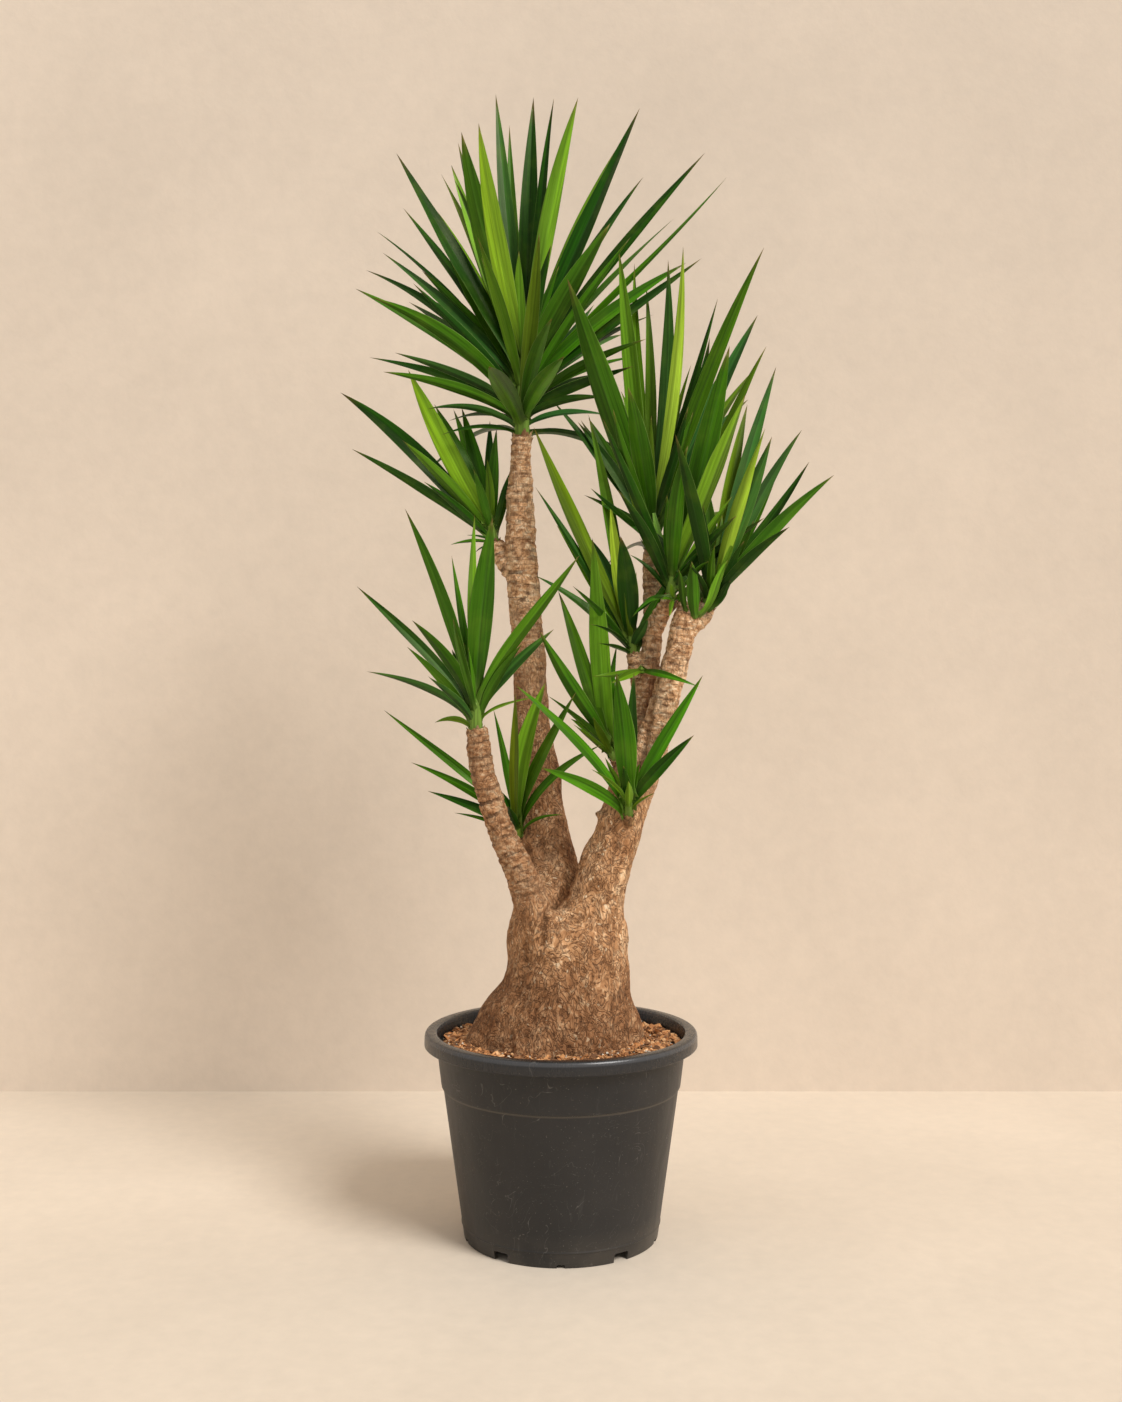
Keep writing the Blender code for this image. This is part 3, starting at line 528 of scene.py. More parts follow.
@dataclass(frozen=True)
class PotFinish:
    """Black nursery plastic, scuffed and a little dusty, with painted highlights on the step and the rim's
    edge and a painted reflection on the lip.
    """

    black: Colour = shade(24, 24, 25)

    def material(self) -> Material:
        """Makes the material.

        Returns:
            The material.
        """
        graph = Graph("black_plastic")
        where = graph.place()
        cloud = graph.noise(where, 9.0, 4.0, 0.6)
        rubs = graph.noise(graph.stretch(where, (1.0, 1.0, 0.18)), 60.0, 5.0, 0.7, 0.6)
        specks = graph.noise(where, 420.0, 2.0, 0.5)
        colour = graph.blend(graph.span(cloud, 0.35, 0.7), self.black, shade(35, 34, 34))
        colour = graph.blend(graph.span(rubs, 0.6, 0.78, 0.0, 0.4), colour, shade(88, 84, 80))
        colour = graph.blend(graph.span(specks, 0.68, 0.76, 0.0, 0.6), colour, shade(118, 112, 104))
        scratched = graph.times(graph.veins(where, 11.0, 0.006, 3.0), graph.span(rubs, 0.48, 0.6))
        colour = graph.blend(graph.times(scratched, 0.5), colour, shade(120, 116, 110))
        height = graph.node("SeparateXYZ", Vector=where).outputs["Z"]
        # Painted highlight: a light line along the edge of the step in the wall.
        step_highlight = graph.times(graph.span(height, 0.2165, 0.2175), graph.span(height, 0.2205, 0.2195))
        colour = graph.blend(graph.times(step_highlight, 0.6), colour, shade(92, 84, 74))
        # Painted reflection: the lip's face is painted lighter than the wall; the same mask makes it
        # glossier.
        lip = graph.span(height, 0.279, 0.2815)
        colour = graph.blend(graph.times(lip, 0.25), colour, shade(50, 50, 52))
        dusty = graph.times(graph.span(height, 0.05, 0.0), graph.span(cloud, 0.3, 0.7))
        colour = graph.blend(graph.times(dusty, 0.3), colour, shade(120, 108, 92))
        # Painted highlight in a band along the rim's rounded top edge.
        painted_light = graph.times(graph.span(height, 0.2925, 0.2945), graph.span(height, 0.2995, 0.298))
        colour = graph.blend(graph.times(painted_light, 0.3), colour, shade(110, 110, 112))
        polish = graph.times(lip, 0.2)
        graph.look(colour, graph.sum(Sum.LESS, graph.span(rubs, 0.3, 0.8, 0.4, 0.56), polish))
        graph.relief(graph.noise(where, 900.0, 3.0, 0.6), 0.25, 0.0003)
        return graph.material


@dataclass(frozen=True)
class ChipFinish:
    """Bark chips of several browns, each with its own fibres."""

    def material(self) -> Material:
        """Makes the material, whose colour comes from each chip's own.

        Returns:
            The material.
        """
        graph = Graph("bark_chips")
        where = graph.place()
        grain = graph.noise(where, 420.0, 4.0, 0.65, 0.8)
        colour = graph.attribute("chip_colour", "Color")
        fibres = graph.ramp(grain, [(0.3, 0.6), (0.5, 1.05), (0.7, 1.5)])
        colour = graph.tint(colour, fibres)
        graph.look(colour, graph.span(grain, 0.3, 0.7, 0.78, 0.95))
        graph.relief(grain, 0.7, 0.001)
        return graph.material


@dataclass(frozen=True)
class SoilFinish:
    """Dark crumbly potting mix."""

    def material(self) -> Material:
        """Makes the material.

        Returns:
            The material.
        """
        graph = Graph("potting_mix")
        where = graph.place()
        crumbs = graph.noise(where, 240.0, 5.0, 0.7)
        colour = graph.ramp(
            crumbs, [(0.3, shade(46, 32, 22)), (0.55, shade(96, 68, 44)), (0.78, shade(140, 104, 70))]
        )
        graph.look(colour, graph.span(crumbs, 0.3, 0.7, 0.82, 0.97))
        graph.relief(crumbs, 0.9, 0.003)
        return graph.material


@dataclass(frozen=True)
class StudioFinish:
    """Painted plaster or stone of the studio, with faint clouds."""

    name: str
    paint: Colour

    def material(self) -> Material:
        """Makes the material.

        Returns:
            The material.
        """
        graph = Graph(self.name)
        where = graph.place()
        cloud = graph.noise(where, 1.4, 5.0, 0.6)
        fine = graph.noise(where, 38.0, 4.0, 0.6)
        low = tuple(v * 0.93 for v in self.paint)
        high = tuple(min(v * 1.05, 1.0) for v in self.paint)
        colour = graph.blend(graph.span(cloud, 0.3, 0.7), low, high)
        colour = graph.tint(colour, graph.ramp(fine, [(0.3, 0.94), (0.7, 1.05)]), 0.5)
        graph.look(colour, graph.span(fine, 0.3, 0.7, 0.75, 0.9))
        graph.relief(fine, 0.3, 0.002)
        return graph.material


# --- Pot -------------------------------------------------------------------------------------


class Cut(Enum):
    """What is cut out of the pot."""

    NOTCH = "notch"
    HOLE = "hole"


@dataclass
class NurseryPot:
    """Round nursery pot with a rolled rim, a step in its wall and drain notches."""

    height: float = 30.0
    rim_radius: float = 20.0
    rim_drop: float = 2.0
    base_radius: float = 14.25
    neck_radius: float = 18.5
    step_height: float = 22.0
    step_radius: float = 17.25
    step_out: float = 0.25
    bead_height: float = 2.2
    bead_out: float = 0.08
    wall: float = 0.3
    floor_height: float = 1.4
    dish_radius: float = 3.0
    sides: int = 160
    notches: int = 5
    wide_notch: tuple[float, float] = (2.4, 1.3)
    narrow_notch: tuple[float, float] = (1.2, 0.5)
    first_notch: float = 36.0
    hole_radius: float = 0.8
    hole_ring: float = 11.4
    first_hole: float = 20.0

    def inner_radius(self, height: float) -> float:
        """Inside of the wall.

        Args:
            height: Height above the ground.

        Returns:
            The radius there.
        """
        if height <= self.step_height:
            share = height / self.step_height
            return self.base_radius + (self.step_radius - self.base_radius) * share - self.wall
        share = (height - self.step_height) / (self.height - self.step_height)
        low = self.step_radius + self.step_out
        return low + (self.neck_radius - low) * share - self.wall

    def dished_floor(self, lift: float) -> list[tuple[float, float]]:
        """Profile of the floor, from its flat middle outwards.

        Args:
            lift: How far it is raised.

        Returns:
            Its (radius, height) points.
        """
        return [
            (0.0, lift),
            (self.dish_radius, lift),
            (self.dish_radius + 0.25, lift + 0.12),
            (self.dish_radius + 1.0, self.floor_height + lift - 0.12),
            (self.dish_radius + 1.25, self.floor_height + lift),
        ]

    def outside(self) -> list[tuple[float, float]]:
        """Profile from the middle of the underside up to the top of the rim.

        Returns:
            Its (radius, height) points.
        """
        base, rim, neck = self.base_radius, self.rim_radius, self.neck_radius - 0.05
        foot, bead = base - self.wall, base + 0.28
        ledge = self.step_radius + self.step_out
        low, step, top = self.bead_height, self.step_height, self.height
        skirt = top - self.rim_drop
        slope = (self.step_radius - bead) / (step - low)
        lean = (neck - self.step_radius - self.step_out) / (top - step)
        walls = [
            (bead + slope * (z - low), z)
            for z in np.linspace(low + 0.3, step - 0.25, 8)
        ]
        neck_wall = [
            (ledge + lean * (z - step), z)
            for z in np.linspace(step + 0.45, top - 0.6, 4)
        ]
        return self.dished_floor(0.0) + [
            (foot - 0.15, self.floor_height),
            (foot - 0.03, self.floor_height - 0.15),
            (foot, 0.12),
            (foot + 0.06, 0.0),
            (base - 0.14, 0.0),
            (base - 0.03, 0.06),
            (base, 0.2),
            (bead - 0.02, low - 0.16),
            (bead + self.bead_out, low - 0.07),
            (bead + self.bead_out + 0.01, low + 0.05),
            (bead + 0.03, low + 0.15),
        ] + walls + [
            (self.step_radius - 0.01, step - 0.06),
            (self.step_radius + self.step_out * 0.7, step),
            (ledge, step + 0.14),
        ] + neck_wall + [
            (neck, top - 0.42),
            (neck + 0.05, top - 0.37),
            (rim - 0.42, top - 0.37),
            (rim - 0.35, top - 0.42),
            (rim - 0.28, skirt + 0.06),
            (rim - 0.22, skirt),
            (rim - 0.08, skirt),
            (rim - 0.01, skirt + 0.06),
            (rim, skirt + 0.2),
            (rim - 0.03, top - 0.75),
            (rim - 0.09, top - 0.4),
            (rim - 0.19, top - 0.2),
            (rim - 0.33, top - 0.07),
            (rim - 0.55, top),
            (self.neck_radius + 0.12, top),
            (self.neck_radius - 0.08, top - 0.04),
        ]

    def inside(self) -> list[tuple[float, float]]:
        """Profile from the rim down the inside to the middle of the floor.

        Returns:
            Its (radius, height) points.
        """
        return [
            (self.inner_radius(self.height) + 0.02, self.height - 0.16),
            (self.inner_radius(self.height - 0.35), self.height - 0.35),
            (self.inner_radius(self.step_height + 0.3), self.step_height + 0.3),
            (self.inner_radius(self.step_height), self.step_height),
            (self.inner_radius(2.1), 2.1),
            (self.inner_radius(2.1) - 0.1, 1.82),
            (self.inner_radius(2.1) - 0.3, self.floor_height + self.wall),
        ] + list(reversed(self.dished_floor(self.wall)))

    def turned(self, profile: Sequence[tuple[float, float]]) -> Mesh:
        """Turns a profile that starts and ends on the axis into a closed mesh.

        Args:
            profile: Its (radius, height) points.

        Returns:
            The mesh, in metres.
        """
        shape = bmesh.new()
        rings = []
        for radius, height in profile:
            turns = [2 * pi * i / self.sides for i in range(self.sides if radius else 1)]
            ring = [(radius * sin(a), -radius * cos(a), height) for a in turns]
            rings.append([shape.verts.new(Vector(p) * CM) for p in ring])
        for low, high in zip(rings, rings[1:]):
            for i in range(self.sides):
                j = (i + 1) % self.sides
                loop = (low[i % len(low)], low[j % len(low)], high[j % len(high)], high[i % len(high)])
                shape.faces.new(tuple(dict.fromkeys(loop)))
        bmesh.ops.recalc_face_normals(shape, faces=shape.faces)
        mesh = bpy.data.meshes.new("pot")
        shape.to_mesh(mesh)
        shape.free()
        return mesh

    def cutter(self, kind: Cut, turn: float, ring: float, height: float, size: Point) -> Object:
        """Makes a block or a drill that is cut out of the pot.

        Args:
            kind: A block for a notch or a drill for a hole.
            turn: Where it stands, in degrees from the front.
            ring: Its distance from the axis.
            height: Height of its middle.
            size: Its size across, outwards and up.

        Returns:
            The cutter, to be removed after the cut.
        """
        shape = bmesh.new()
        if kind is Cut.NOTCH:
            bmesh.ops.create_cube(shape, size=1.0)
            top = [edge for edge in shape.edges if min(vert.co.z for vert in edge.verts) > 0]
            across = [edge for edge in top if abs(edge.verts[0].co.x - edge.verts[1].co.x) < 0.1]
            bmesh.ops.scale(shape, vec=Vector(size) * CM, verts=shape.verts)
            bmesh.ops.bevel(shape, geom=across, offset=0.22 * CM, segments=4, affect="EDGES", profile=0.5)
        else:
            wide, _, deep = Vector(size) * CM
            bmesh.ops.create_cone(
                shape, cap_ends=True, segments=32, radius1=wide, radius2=wide, depth=deep
            )
        mesh = bpy.data.meshes.new(kind.value)
        shape.to_mesh(mesh)
        shape.free()
        made = stood(kind.value, mesh)
        angle = radians(turn)
        made.location = Vector((ring * sin(angle), -ring * cos(angle), height)) * CM
        made.rotation_euler.z = angle
        return made

    def build(self) -> Object:
        """Makes the pot in place of its CAD solid.

        Returns:
            The pot.
        """
        mesh = self.turned(self.outside() + self.inside())
        blank = stood("nursery_pot", mesh)
        cutters = []
        for i in range(2 * self.notches):
            width, height = self.narrow_notch if i % 2 else self.wide_notch
            turn = self.first_notch + i * 180 / self.notches
            size = (width, 2.0, 2 * height)
            cutters.append(self.cutter(Cut.NOTCH, turn, self.base_radius - 0.2, 0.0, size))
        for i in range(self.notches):
            turn = self.first_hole + i * 360 / self.notches
            middle = self.floor_height + self.wall / 2
            size = (self.hole_radius, 0.0, 2.0)
            cutters.append(self.cutter(Cut.HOLE, turn, self.hole_ring, middle, size))
        for cutter in cutters:
            step = blank.modifiers.new(cutter.name, "BOOLEAN")
            step.operation = "DIFFERENCE"
            step.object = cutter
        mesh = applied(blank, "nursery_pot")
        for obj in cutters + [blank]:
            bpy.data.objects.remove(obj)
        mesh.materials.clear()
        mesh.materials.append(PotFinish().material())
        mesh.polygons.foreach_set("use_smooth", [True] * len(mesh.polygons))
        mesh.set_sharp_from_angle(angle=radians(38))
        pot = on_plant("nursery_pot", mesh)
        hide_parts("pot")
        return pot


def applied(obj: Object, name: str) -> Mesh:
    """Mesh of an object with its modifiers applied.

    Args:
        obj: The object.
        name: Name of the new mesh.

    Returns:
        The new mesh.
    """
    bpy.context.view_layer.update()
    seen = obj.evaluated_get(bpy.context.evaluated_depsgraph_get())
    mesh = bpy.data.meshes.new_from_object(seen)
    mesh.name = name
    return mesh


# --- Trunk -----------------------------------------------------------------------------------


@dataclass(frozen=True)
class Stem:
    """One stem: its points as across, up, back and radius, how its bark ages, and how far it is darkened as
    painted shade.
    """

    knots: tuple[tuple[float, float, float, float], ...]
    old_to: float = 0.0  # height up to which its bark is old
    young_from: float = 1.0  # height from which it is young
    # How far its bark is darkened, as painted shade.
    darkening: float = 0.0

    def samples(self, steps: int = 8) -> list[tuple[Vector, float, float]]:
        """Points along the stem.

        Args:
            steps: How many to each span.

        Returns:
            Place, radius and distance along it, for each point.
        """
        rows, run = [], 0.0
        for across, up, back, radius in smooth_points(self.knots, steps):
            at = place(across, up, back)
            run += (at - rows[-1][0]).length if rows else 0.0
            rows.append((at, radius * (VIEW_DISTANCE + back) / VIEW_DISTANCE, run))
        return rows


# The swollen foot's rings: height, middle across and back, half width and half depth.
CAUDEX = (
    (18.5, -1, 0, 3, 3),
    (19.5, -1, 0, 6.5, 6),
    (22, -1.1, 0, 10.5, 9.5),
    (25, -1.2, 0, 12.4, 11.2),
    (28, -1.3, 0, 13, 11.6),
    (31, -0.8, 0, 12.1, 10.8),
    (34, -0.3, 0, 10.8, 10),
    (37, 0.6, 0, 9.4, 9.3),
    (40, 1, 0, 8.9, 8.9),
    (44, 1.05, 0.2, 8.8, 8.6),
    (46.5, 0.9, 0.7, 8.2, 7.6),
    (48.5, 0.2, 1.6, 6.2, 5.8),
    (49.6, 0, 2.4, 3.2, 3.4),
)

AT_MULCH = CAUDEX[4]

STEMS = (
    Stem(
        (
            (-2.6, 42, -3.6, 3.6), (-3.5, 46, -4.8, 3.1), (-4.6, 49.5, -5.3, 2.65),
            (-5.6, 52.3, -5.5, 2.3), (-7.1, 55.5, -5.6, 2.05), (-9.1, 60, -6, 1.8),
            (-11, 66, -6.4, 1.75), (-12, 70.5, -6.8, 1.7), (-12.4, 74.2, -7, 1.5),
        ),
        old_to=47, young_from=54, darkening=1,
    ),
    Stem(
        (
            (-0.9, 42, 1.2, 6.6), (-1.5, 47.5, 3, 5.8), (-1.6, 52, 4.6, 4.9), (-2.2, 56, 5.4, 4.2),
            (-2.7, 60, 6, 3.6), (-3.1, 64, 6.3, 3.3), (-3.7, 70, 6.6, 2.95), (-4.3, 76, 6.8, 2.6),
            (-4.5, 82, 7, 2.4), (-5, 89, 7, 2.3), (-5.7, 97, 6.6, 2.25), (-5.9, 103, 6.2, 2.1),
            (-6, 109, 5.6, 1.85), (-5.9, 113, 5.2, 1.45), (-5.7, 116.8, 5, 1.45),
        ),
        old_to=72, young_from=94, darkening=0.75,
    ),
    Stem(((-6, 96.5, 6.6, 1.6), (-8.2, 98.6, 7, 1.35), (-9.6, 101.3, 7.2, 1.1))),
    Stem(
        (
            (3.3, 40.5, -0.6, 6.6), (4, 44.5, -1, 5.9), (4.8, 48, -1.5, 4.7), (5.6, 51, -1.8, 4),
            (6.4, 54, -2, 3.85), (8.1, 58, -2.1, 3.5), (9.3, 62, -2.2, 3.35),
            (10.9, 66.5, -2.3, 3.2), (12.9, 71, -2.4, 2.6), (14.3, 75, -2.5, 2.2),
            (15.6, 80, -2.5, 2.05), (17, 85, -2.5, 1.9), (18.1, 89.5, -2.5, 1.95),
            (19, 92.4, -2.5, 1.8),
        ),
        old_to=60, young_from=76,
    ),
    Stem(((18.4, 89.3, -2.4, 1.6), (20.2, 90.6, -2.5, 1.6), (21.4, 92, -2.5, 1.35))),
    Stem(
        (
            (9.4, 63, -0.8, 3.1), (10.6, 69, 0.6, 2.6), (12.2, 76, 1.5, 2), (12.9, 83, 1.8, 1.5),
            (13.5, 89, 2.2, 1.3), (13.3, 94.5, 3.2, 1.35), (13.3, 100.2, 4, 1.2),
        ),
        old_to=64, young_from=80, darkening=0.9,
    ),
    Stem(((13.7, 88.4, 2.1, 1.2), (14.8, 91, 1.3, 1.15), (16, 93.4, 0.1, 1.15))),
    Stem(((12.4, 77.5, 1.6, 1.4), (11.1, 81, 1.9, 1), (10.5, 85.3, 2.2, 0.9))),
)


@dataclass
class Trunk:
    """Grown trunk: a swollen foot and its stems, fused into one skin with bark in relief."""

    root_lobes: int = 7
    lobe_depth: float = 0.055
    lobe_fade: float = 38.0
    voxel: float = 0.24
    smoothing: int = 22
    seed: int = 3  # of the noise that warps the bark, which varies from run to run without one
    ring_height: float = 1.05
    scar_height: float = 2.1
    soil: float = 28.0
    foot_grey: tuple[float, float] = (30.0, 42.0)  # heights between which the foot's bark, darker and warmer near the soil, turns to its own colour
    stem_grey: tuple[float, float] = (44.0, 52.0)  # heights between which a stem's bark darkens, as painted shade
    grey_fades: tuple[float, float] = (78.0, 92.0)  # and fades again
    fold_shade: float = 0.7
    buds: tuple[tuple[float, float, float, float], ...] = (
        (5.9, 61.5, 0.55, 0.9),
        (6.7, 58.3, 0.5, 0.6),
        (9.4, 57.0, 0.5, 0.35),
        (5.2, 53.5, 0.6, 0.35),
        (-3.6, 103.0, 0.9, 0.4),
        (-3.4, 98.0, 0.8, 0.35),
        (-9.0, 99.0, 0.6, 0.4),
        (-2.4, 44.2, 0.6, 0.35),
    )  # across, up, reach and height of each bud or knot on the front
    creases: tuple[tuple[tuple[float, float], ...], ...] = (
        ((0.4, 50.2), (-0.9, 48.6), (-1.9, 46.8), (-2.5, 45.3), (-2.8, 42.6)),
        ((15.6, 87.5), (14.0, 82.6), (13.5, 79.3), (12.9, 76.1), (12.0, 70.5), (11.2, 67.6)),
        ((-7.4, 50.0), (-7.1, 47.6), (-6.2, 45.8)),
        ((4.6, 48.5), (5.6, 45.5), (5.2, 42.5)),
        ((-4.8, 43.0), (-5.2, 39.0), (-6.4, 35.0)),
        ((2.2, 41.0), (2.8, 37.5), (1.9, 33.0)),
    )  # the front's folds, as across and up
    crease_reach: float = 0.5
    crease_depths: tuple[float, ...] = (0.8, 0.7, 0.4, 0.35, 0.3, 0.25)

    def foot_rings(self) -> tuple[list[Point], int, int]:
        """Makes the rings of the swollen foot.

        Returns:
            Their points, how many rings there are and how many points each has.
        """
        points, sides = [], 72
        rows = smooth_points(CAUDEX, 4)
        low = CAUDEX[0][0]
        for height, across, back, half_width, half_depth in rows:
            fade = max(0.0, 1 - (height - low) / (self.lobe_fade - low))
            for i in range(sides):
                turn = 2 * pi * i / sides
                lobe = 1 + self.lobe_depth * fade * cos(self.root_lobes * turn + 0.6)
                x = across + half_width * lobe * cos(turn)
                points.append((x, back + half_depth * lobe * sin(turn), height))
        return points, len(rows), sides

    def stem_rings(self, stem: Stem) -> tuple[list[Vector], int, int]:
        """Rings of one stem, each square to it.

        Args:
            stem: The stem.

        Returns:
            Its points, how many rings there are and how many points each has.
        """
        rows, sides, points = stem.samples(4), 36, []
        for k, (centre, radius, _) in enumerate(rows):
            ahead = rows[min(k + 1, len(rows) - 1)][0] - rows[max(k - 1, 0)][0]
            turned_to = ahead.to_track_quat("Z", "X").to_matrix()
            for i in range(sides):
                turn = 2 * pi * i / sides
                points.append(centre + turned_to @ Vector((cos(turn), sin(turn), 0.0)) * radius)
        return points, len(rows), sides

    def fused(self) -> tuple[np.ndarray, list[tuple[int, ...]]]:
        """Fuses the foot and the stems into one smooth skin.

        Returns:
            Its points in centimetres and its faces.
        """
        shape = bmesh.new()
        for rings, count, sides in [self.foot_rings()] + [self.stem_rings(stem) for stem in STEMS]:
            verts = [shape.verts.new(Vector(p) * CM) for p in rings]
            shape.faces.new(verts[:sides])
            for ring in range(count - 1):
                for i in range(sides):
                    a, b = ring * sides + i, ring * sides + (i + 1) % sides
                    shape.faces.new((verts[a], verts[b], verts[b + sides], verts[a + sides]))
            shape.faces.new(list(reversed(verts[-sides:])))
        bmesh.ops.recalc_face_normals(shape, faces=shape.faces)
        mesh = bpy.data.meshes.new("trunk_blank")
        shape.to_mesh(mesh)
        shape.free()
        blank = stood("trunk_blank", mesh)
        fuse = blank.modifiers.new("fuse", "REMESH")
        fuse.mode = "VOXEL"
        fuse.voxel_size = self.voxel * CM
        soft = blank.modifiers.new("soften", "SMOOTH")
        soft.factor = 0.5
        soft.iterations = self.smoothing
        skin = applied(blank, "trunk_skin")
        bpy.data.objects.remove(blank)
        whole = bmesh.new()
        whole.from_mesh(skin)
        self.keep_largest(whole)
        whole.to_mesh(skin)
        whole.free()
        points = np.empty(len(skin.vertices) * 3)
        skin.vertices.foreach_get("co", points)
        return points.reshape(-1, 3) / CM, [tuple(face.vertices) for face in skin.polygons]

    def keep_largest(self, shape: bmesh.types.BMesh) -> None:
        """Deletes all but the largest connected part.

        Args:
            shape: The fused skin.
        """
        left, parts = set(shape.verts), []
        while left:
            part = [left.pop()]
            for vert in part:
                near = {edge.other_vert(vert) for edge in vert.link_edges} & left
                left -= near
                part += near
            parts.append(part)
        parts.sort(key=len)
        bmesh.ops.delete(shape, geom=[vert for part in parts[:-1] for vert in part], context="VERTS")

    def ageing(self, points: np.ndarray) -> dict[str, np.ndarray]:
        """Reads off the nearest stem how old the bark is at each point.

        Args:
            points: The skin's points.

        Returns:
            Youth, darkening and the distance along the stem, for each point; the darkening is painted shade
            on the stems and makes the foot darker towards the soil.
        """
        rows = [(place(0.0, z, 0.0).z, (x, y), max(w, d)) for z, x, y, w, d in smooth_points(CAUDEX, 6)]
        centres = [(x, y, z) for z, (x, y), _ in rows]
        radii = [radius for _, _, radius in rows]
        # The foot's bark is darker towards the soil.
        facts = [(0.0, 1 - float(steps_between(z, *self.foot_grey)), z) for z, _, _ in rows]
        for stem in STEMS:
            for at, radius, run in stem.samples(10):
                youth = float(steps_between(at.z, stem.old_to, stem.young_from))
                # Painted shade: the stem's bark is darkened between these heights, and less so higher up.
                painted_light = stem.darkening * float(steps_between(at.z, *self.stem_grey))
                painted_light *= 1 - 0.65 * float(steps_between(at.z, *self.grey_fades))
                centres.append(tuple(at))
                radii.append(radius)
                facts.append((youth, painted_light, run))
        centres, radii, facts = np.array(centres), np.array(radii), np.array(facts)
        found = []
        for part in np.array_split(points, 40):
            away = np.linalg.norm(part[:, None, :] - centres[None, :, :], axis=2) - radii
            weight = np.exp(-np.clip(away - away.min(axis=1, keepdims=True), 0, 8) * 2.2)
            weight /= weight.sum(axis=1, keepdims=True)
            blended = weight @ facts
            blended[:, 2] = facts[away.argmin(axis=1), 2]
            found.append(blended)
        youth, darkening, run = np.vstack(found).T
        return {"youth": youth, "darkening": darkening, "run": run}

    def relief(self, point: Vector, youth: float, run: float) -> tuple[float, float, float, float]:
        """Height of the bark at a point.

        Args:
            point: The point, in centimetres.
            youth: 0 for old bark and 1 for young.
            run: Distance along the stem.

        Returns:
            How far the bark stands out, its crest from 0 to 1, and its counts of rings and scars.
        """
        warp = noise.noise_vector(point * 0.16) * 2.2
        tall = Vector((point.x, point.y, point.z * 0.5))
        plates = noise.ridged_multi_fractal((tall + warp) * 0.42, 0.9, 2.1, 4, 1.0, 2.0) / 2.2
        cork = noise.ridged_multi_fractal((tall + warp * 0.6) * 1.05, 0.8, 2.2, 3, 1.0, 2.0) / 2.2
        lumps = noise.noise(point * 0.22)
        old = 0.26 * (plates - 0.45) + 0.13 * (cork - 0.45) + 0.42 * lumps
        root = max(0.0, 1 - (point.z - self.soil) / 7.0)
        turn = math.atan2(point.y, point.x)
        old += 0.16 * root * cos(turn * 17 + 5 * lumps + point.z * 0.15)
        count = run / self.ring_height + 0.5 * noise.noise(point * 0.26)
        scar = run / self.scar_height + 0.6 * noise.noise(point * 0.2 + Vector((9.0, 4.0, 2.0)))
        step, slip = count % 1.0, scar % 1.0
        ledge = 0.16 * step**0.8 - 0.2 * max(0.0, step - 0.86) / 0.14
        ledge += 0.08 * slip**0.8 - 0.1 * max(0.0, slip - 0.86) / 0.14
        fibres = noise.noise(Vector((point.x * 0.8, point.y * 0.8, point.z * 3.0)))
        new = ledge + 0.06 * fibres + 0.22 * noise.noise(point * 0.42)
        crest = min(max((plates * 0.55 + cork * 0.65) * 0.85, 0.0), 1.0)
        young_crest = min(max(0.6 + 0.3 * fibres, 0.0), 1.0)
        return old + (new - old) * youth, crest + (young_crest - crest) * youth, count, scar

    def features(self, points: np.ndarray, normals: np.ndarray) -> np.ndarray:
        """Buds and knots that stand out of the front, and folds that run in.

        Args:
            points: The skin's points.
            normals: Its normals there.

        Returns:
            How far each point moves out.
        """
        reach = (VIEW_DISTANCE + points[:, 1]) / VIEW_DISTANCE
        shown = np.stack((points[:, 0] / reach, VIEW_HEIGHT + (points[:, 2] - VIEW_HEIGHT) / reach), axis=1)
        front = np.clip(0.2 - normals[:, 1] * 1.5 + normals[:, 2], 0.0, 1.0)
        moved = np.zeros(len(points))
        for across, up, size, height in self.buds:
            away = np.linalg.norm(shown - (across, up), axis=1)
            moved += height * np.exp(-((away / size) ** 2))
        for fold, depth in zip(self.creases, self.crease_depths):
            away = np.full(len(points), 1e9)
            for start, end in zip(fold, fold[1:]):
                a, b = np.array(start), np.array(end)
                share = np.clip((shown - a) @ (b - a) / ((b - a) @ (b - a)), 0.0, 1.0)
                away = np.minimum(away, np.linalg.norm(shown - (a + share[:, None] * (b - a)), axis=1))
            moved -= depth * np.exp(-((away / self.crease_reach) ** 2))
        return moved * front

    def build(self) -> Object:
        """Makes the trunk in place of its CAD solid.

        Returns:
            The trunk.
        """
        noise.seed_set(self.seed)
        points, faces = self.fused()
        age = self.ageing(points)
        mesh = bpy.data.meshes.new("skin")
        mesh.from_pydata((points * CM).tolist(), [], faces)
        normals = np.empty(len(points) * 3)
        mesh.vertex_normals.foreach_get("vector", normals)
        bpy.data.meshes.remove(mesh)
        rows = [self.relief(Vector(p), y, r) for p, y, r in zip(points.tolist(), age["youth"], age["run"])]
        raised, crest, count, scar = np.array(rows).T
        normals = normals.reshape(-1, 3)
        moved = self.features(points, normals)
        # Painted shade in the front's folds: the crest is lowered there, which darkens the bark.
        crest = crest * (1 - np.clip(-self.fold_shade * moved, 0.0, 1.0))
        points = points + normals * (raised + moved)[:, None]
        shape = Shape()
        shape.add(
            points, faces, [False] * len(faces), bark_crest=crest, bark_youth=age["youth"],
            bark_darkening=age["darkening"], ring_count=count, scar_count=scar,
        )
        kinds = dict.fromkeys(shape.layers, Grain.NUMBER)
        trunk = shape.piece("yucca_trunk", BarkFinish().material(), kinds)
        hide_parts("trunk")
        return trunk


# --- Filling ---------------------------------------------------------------------------------


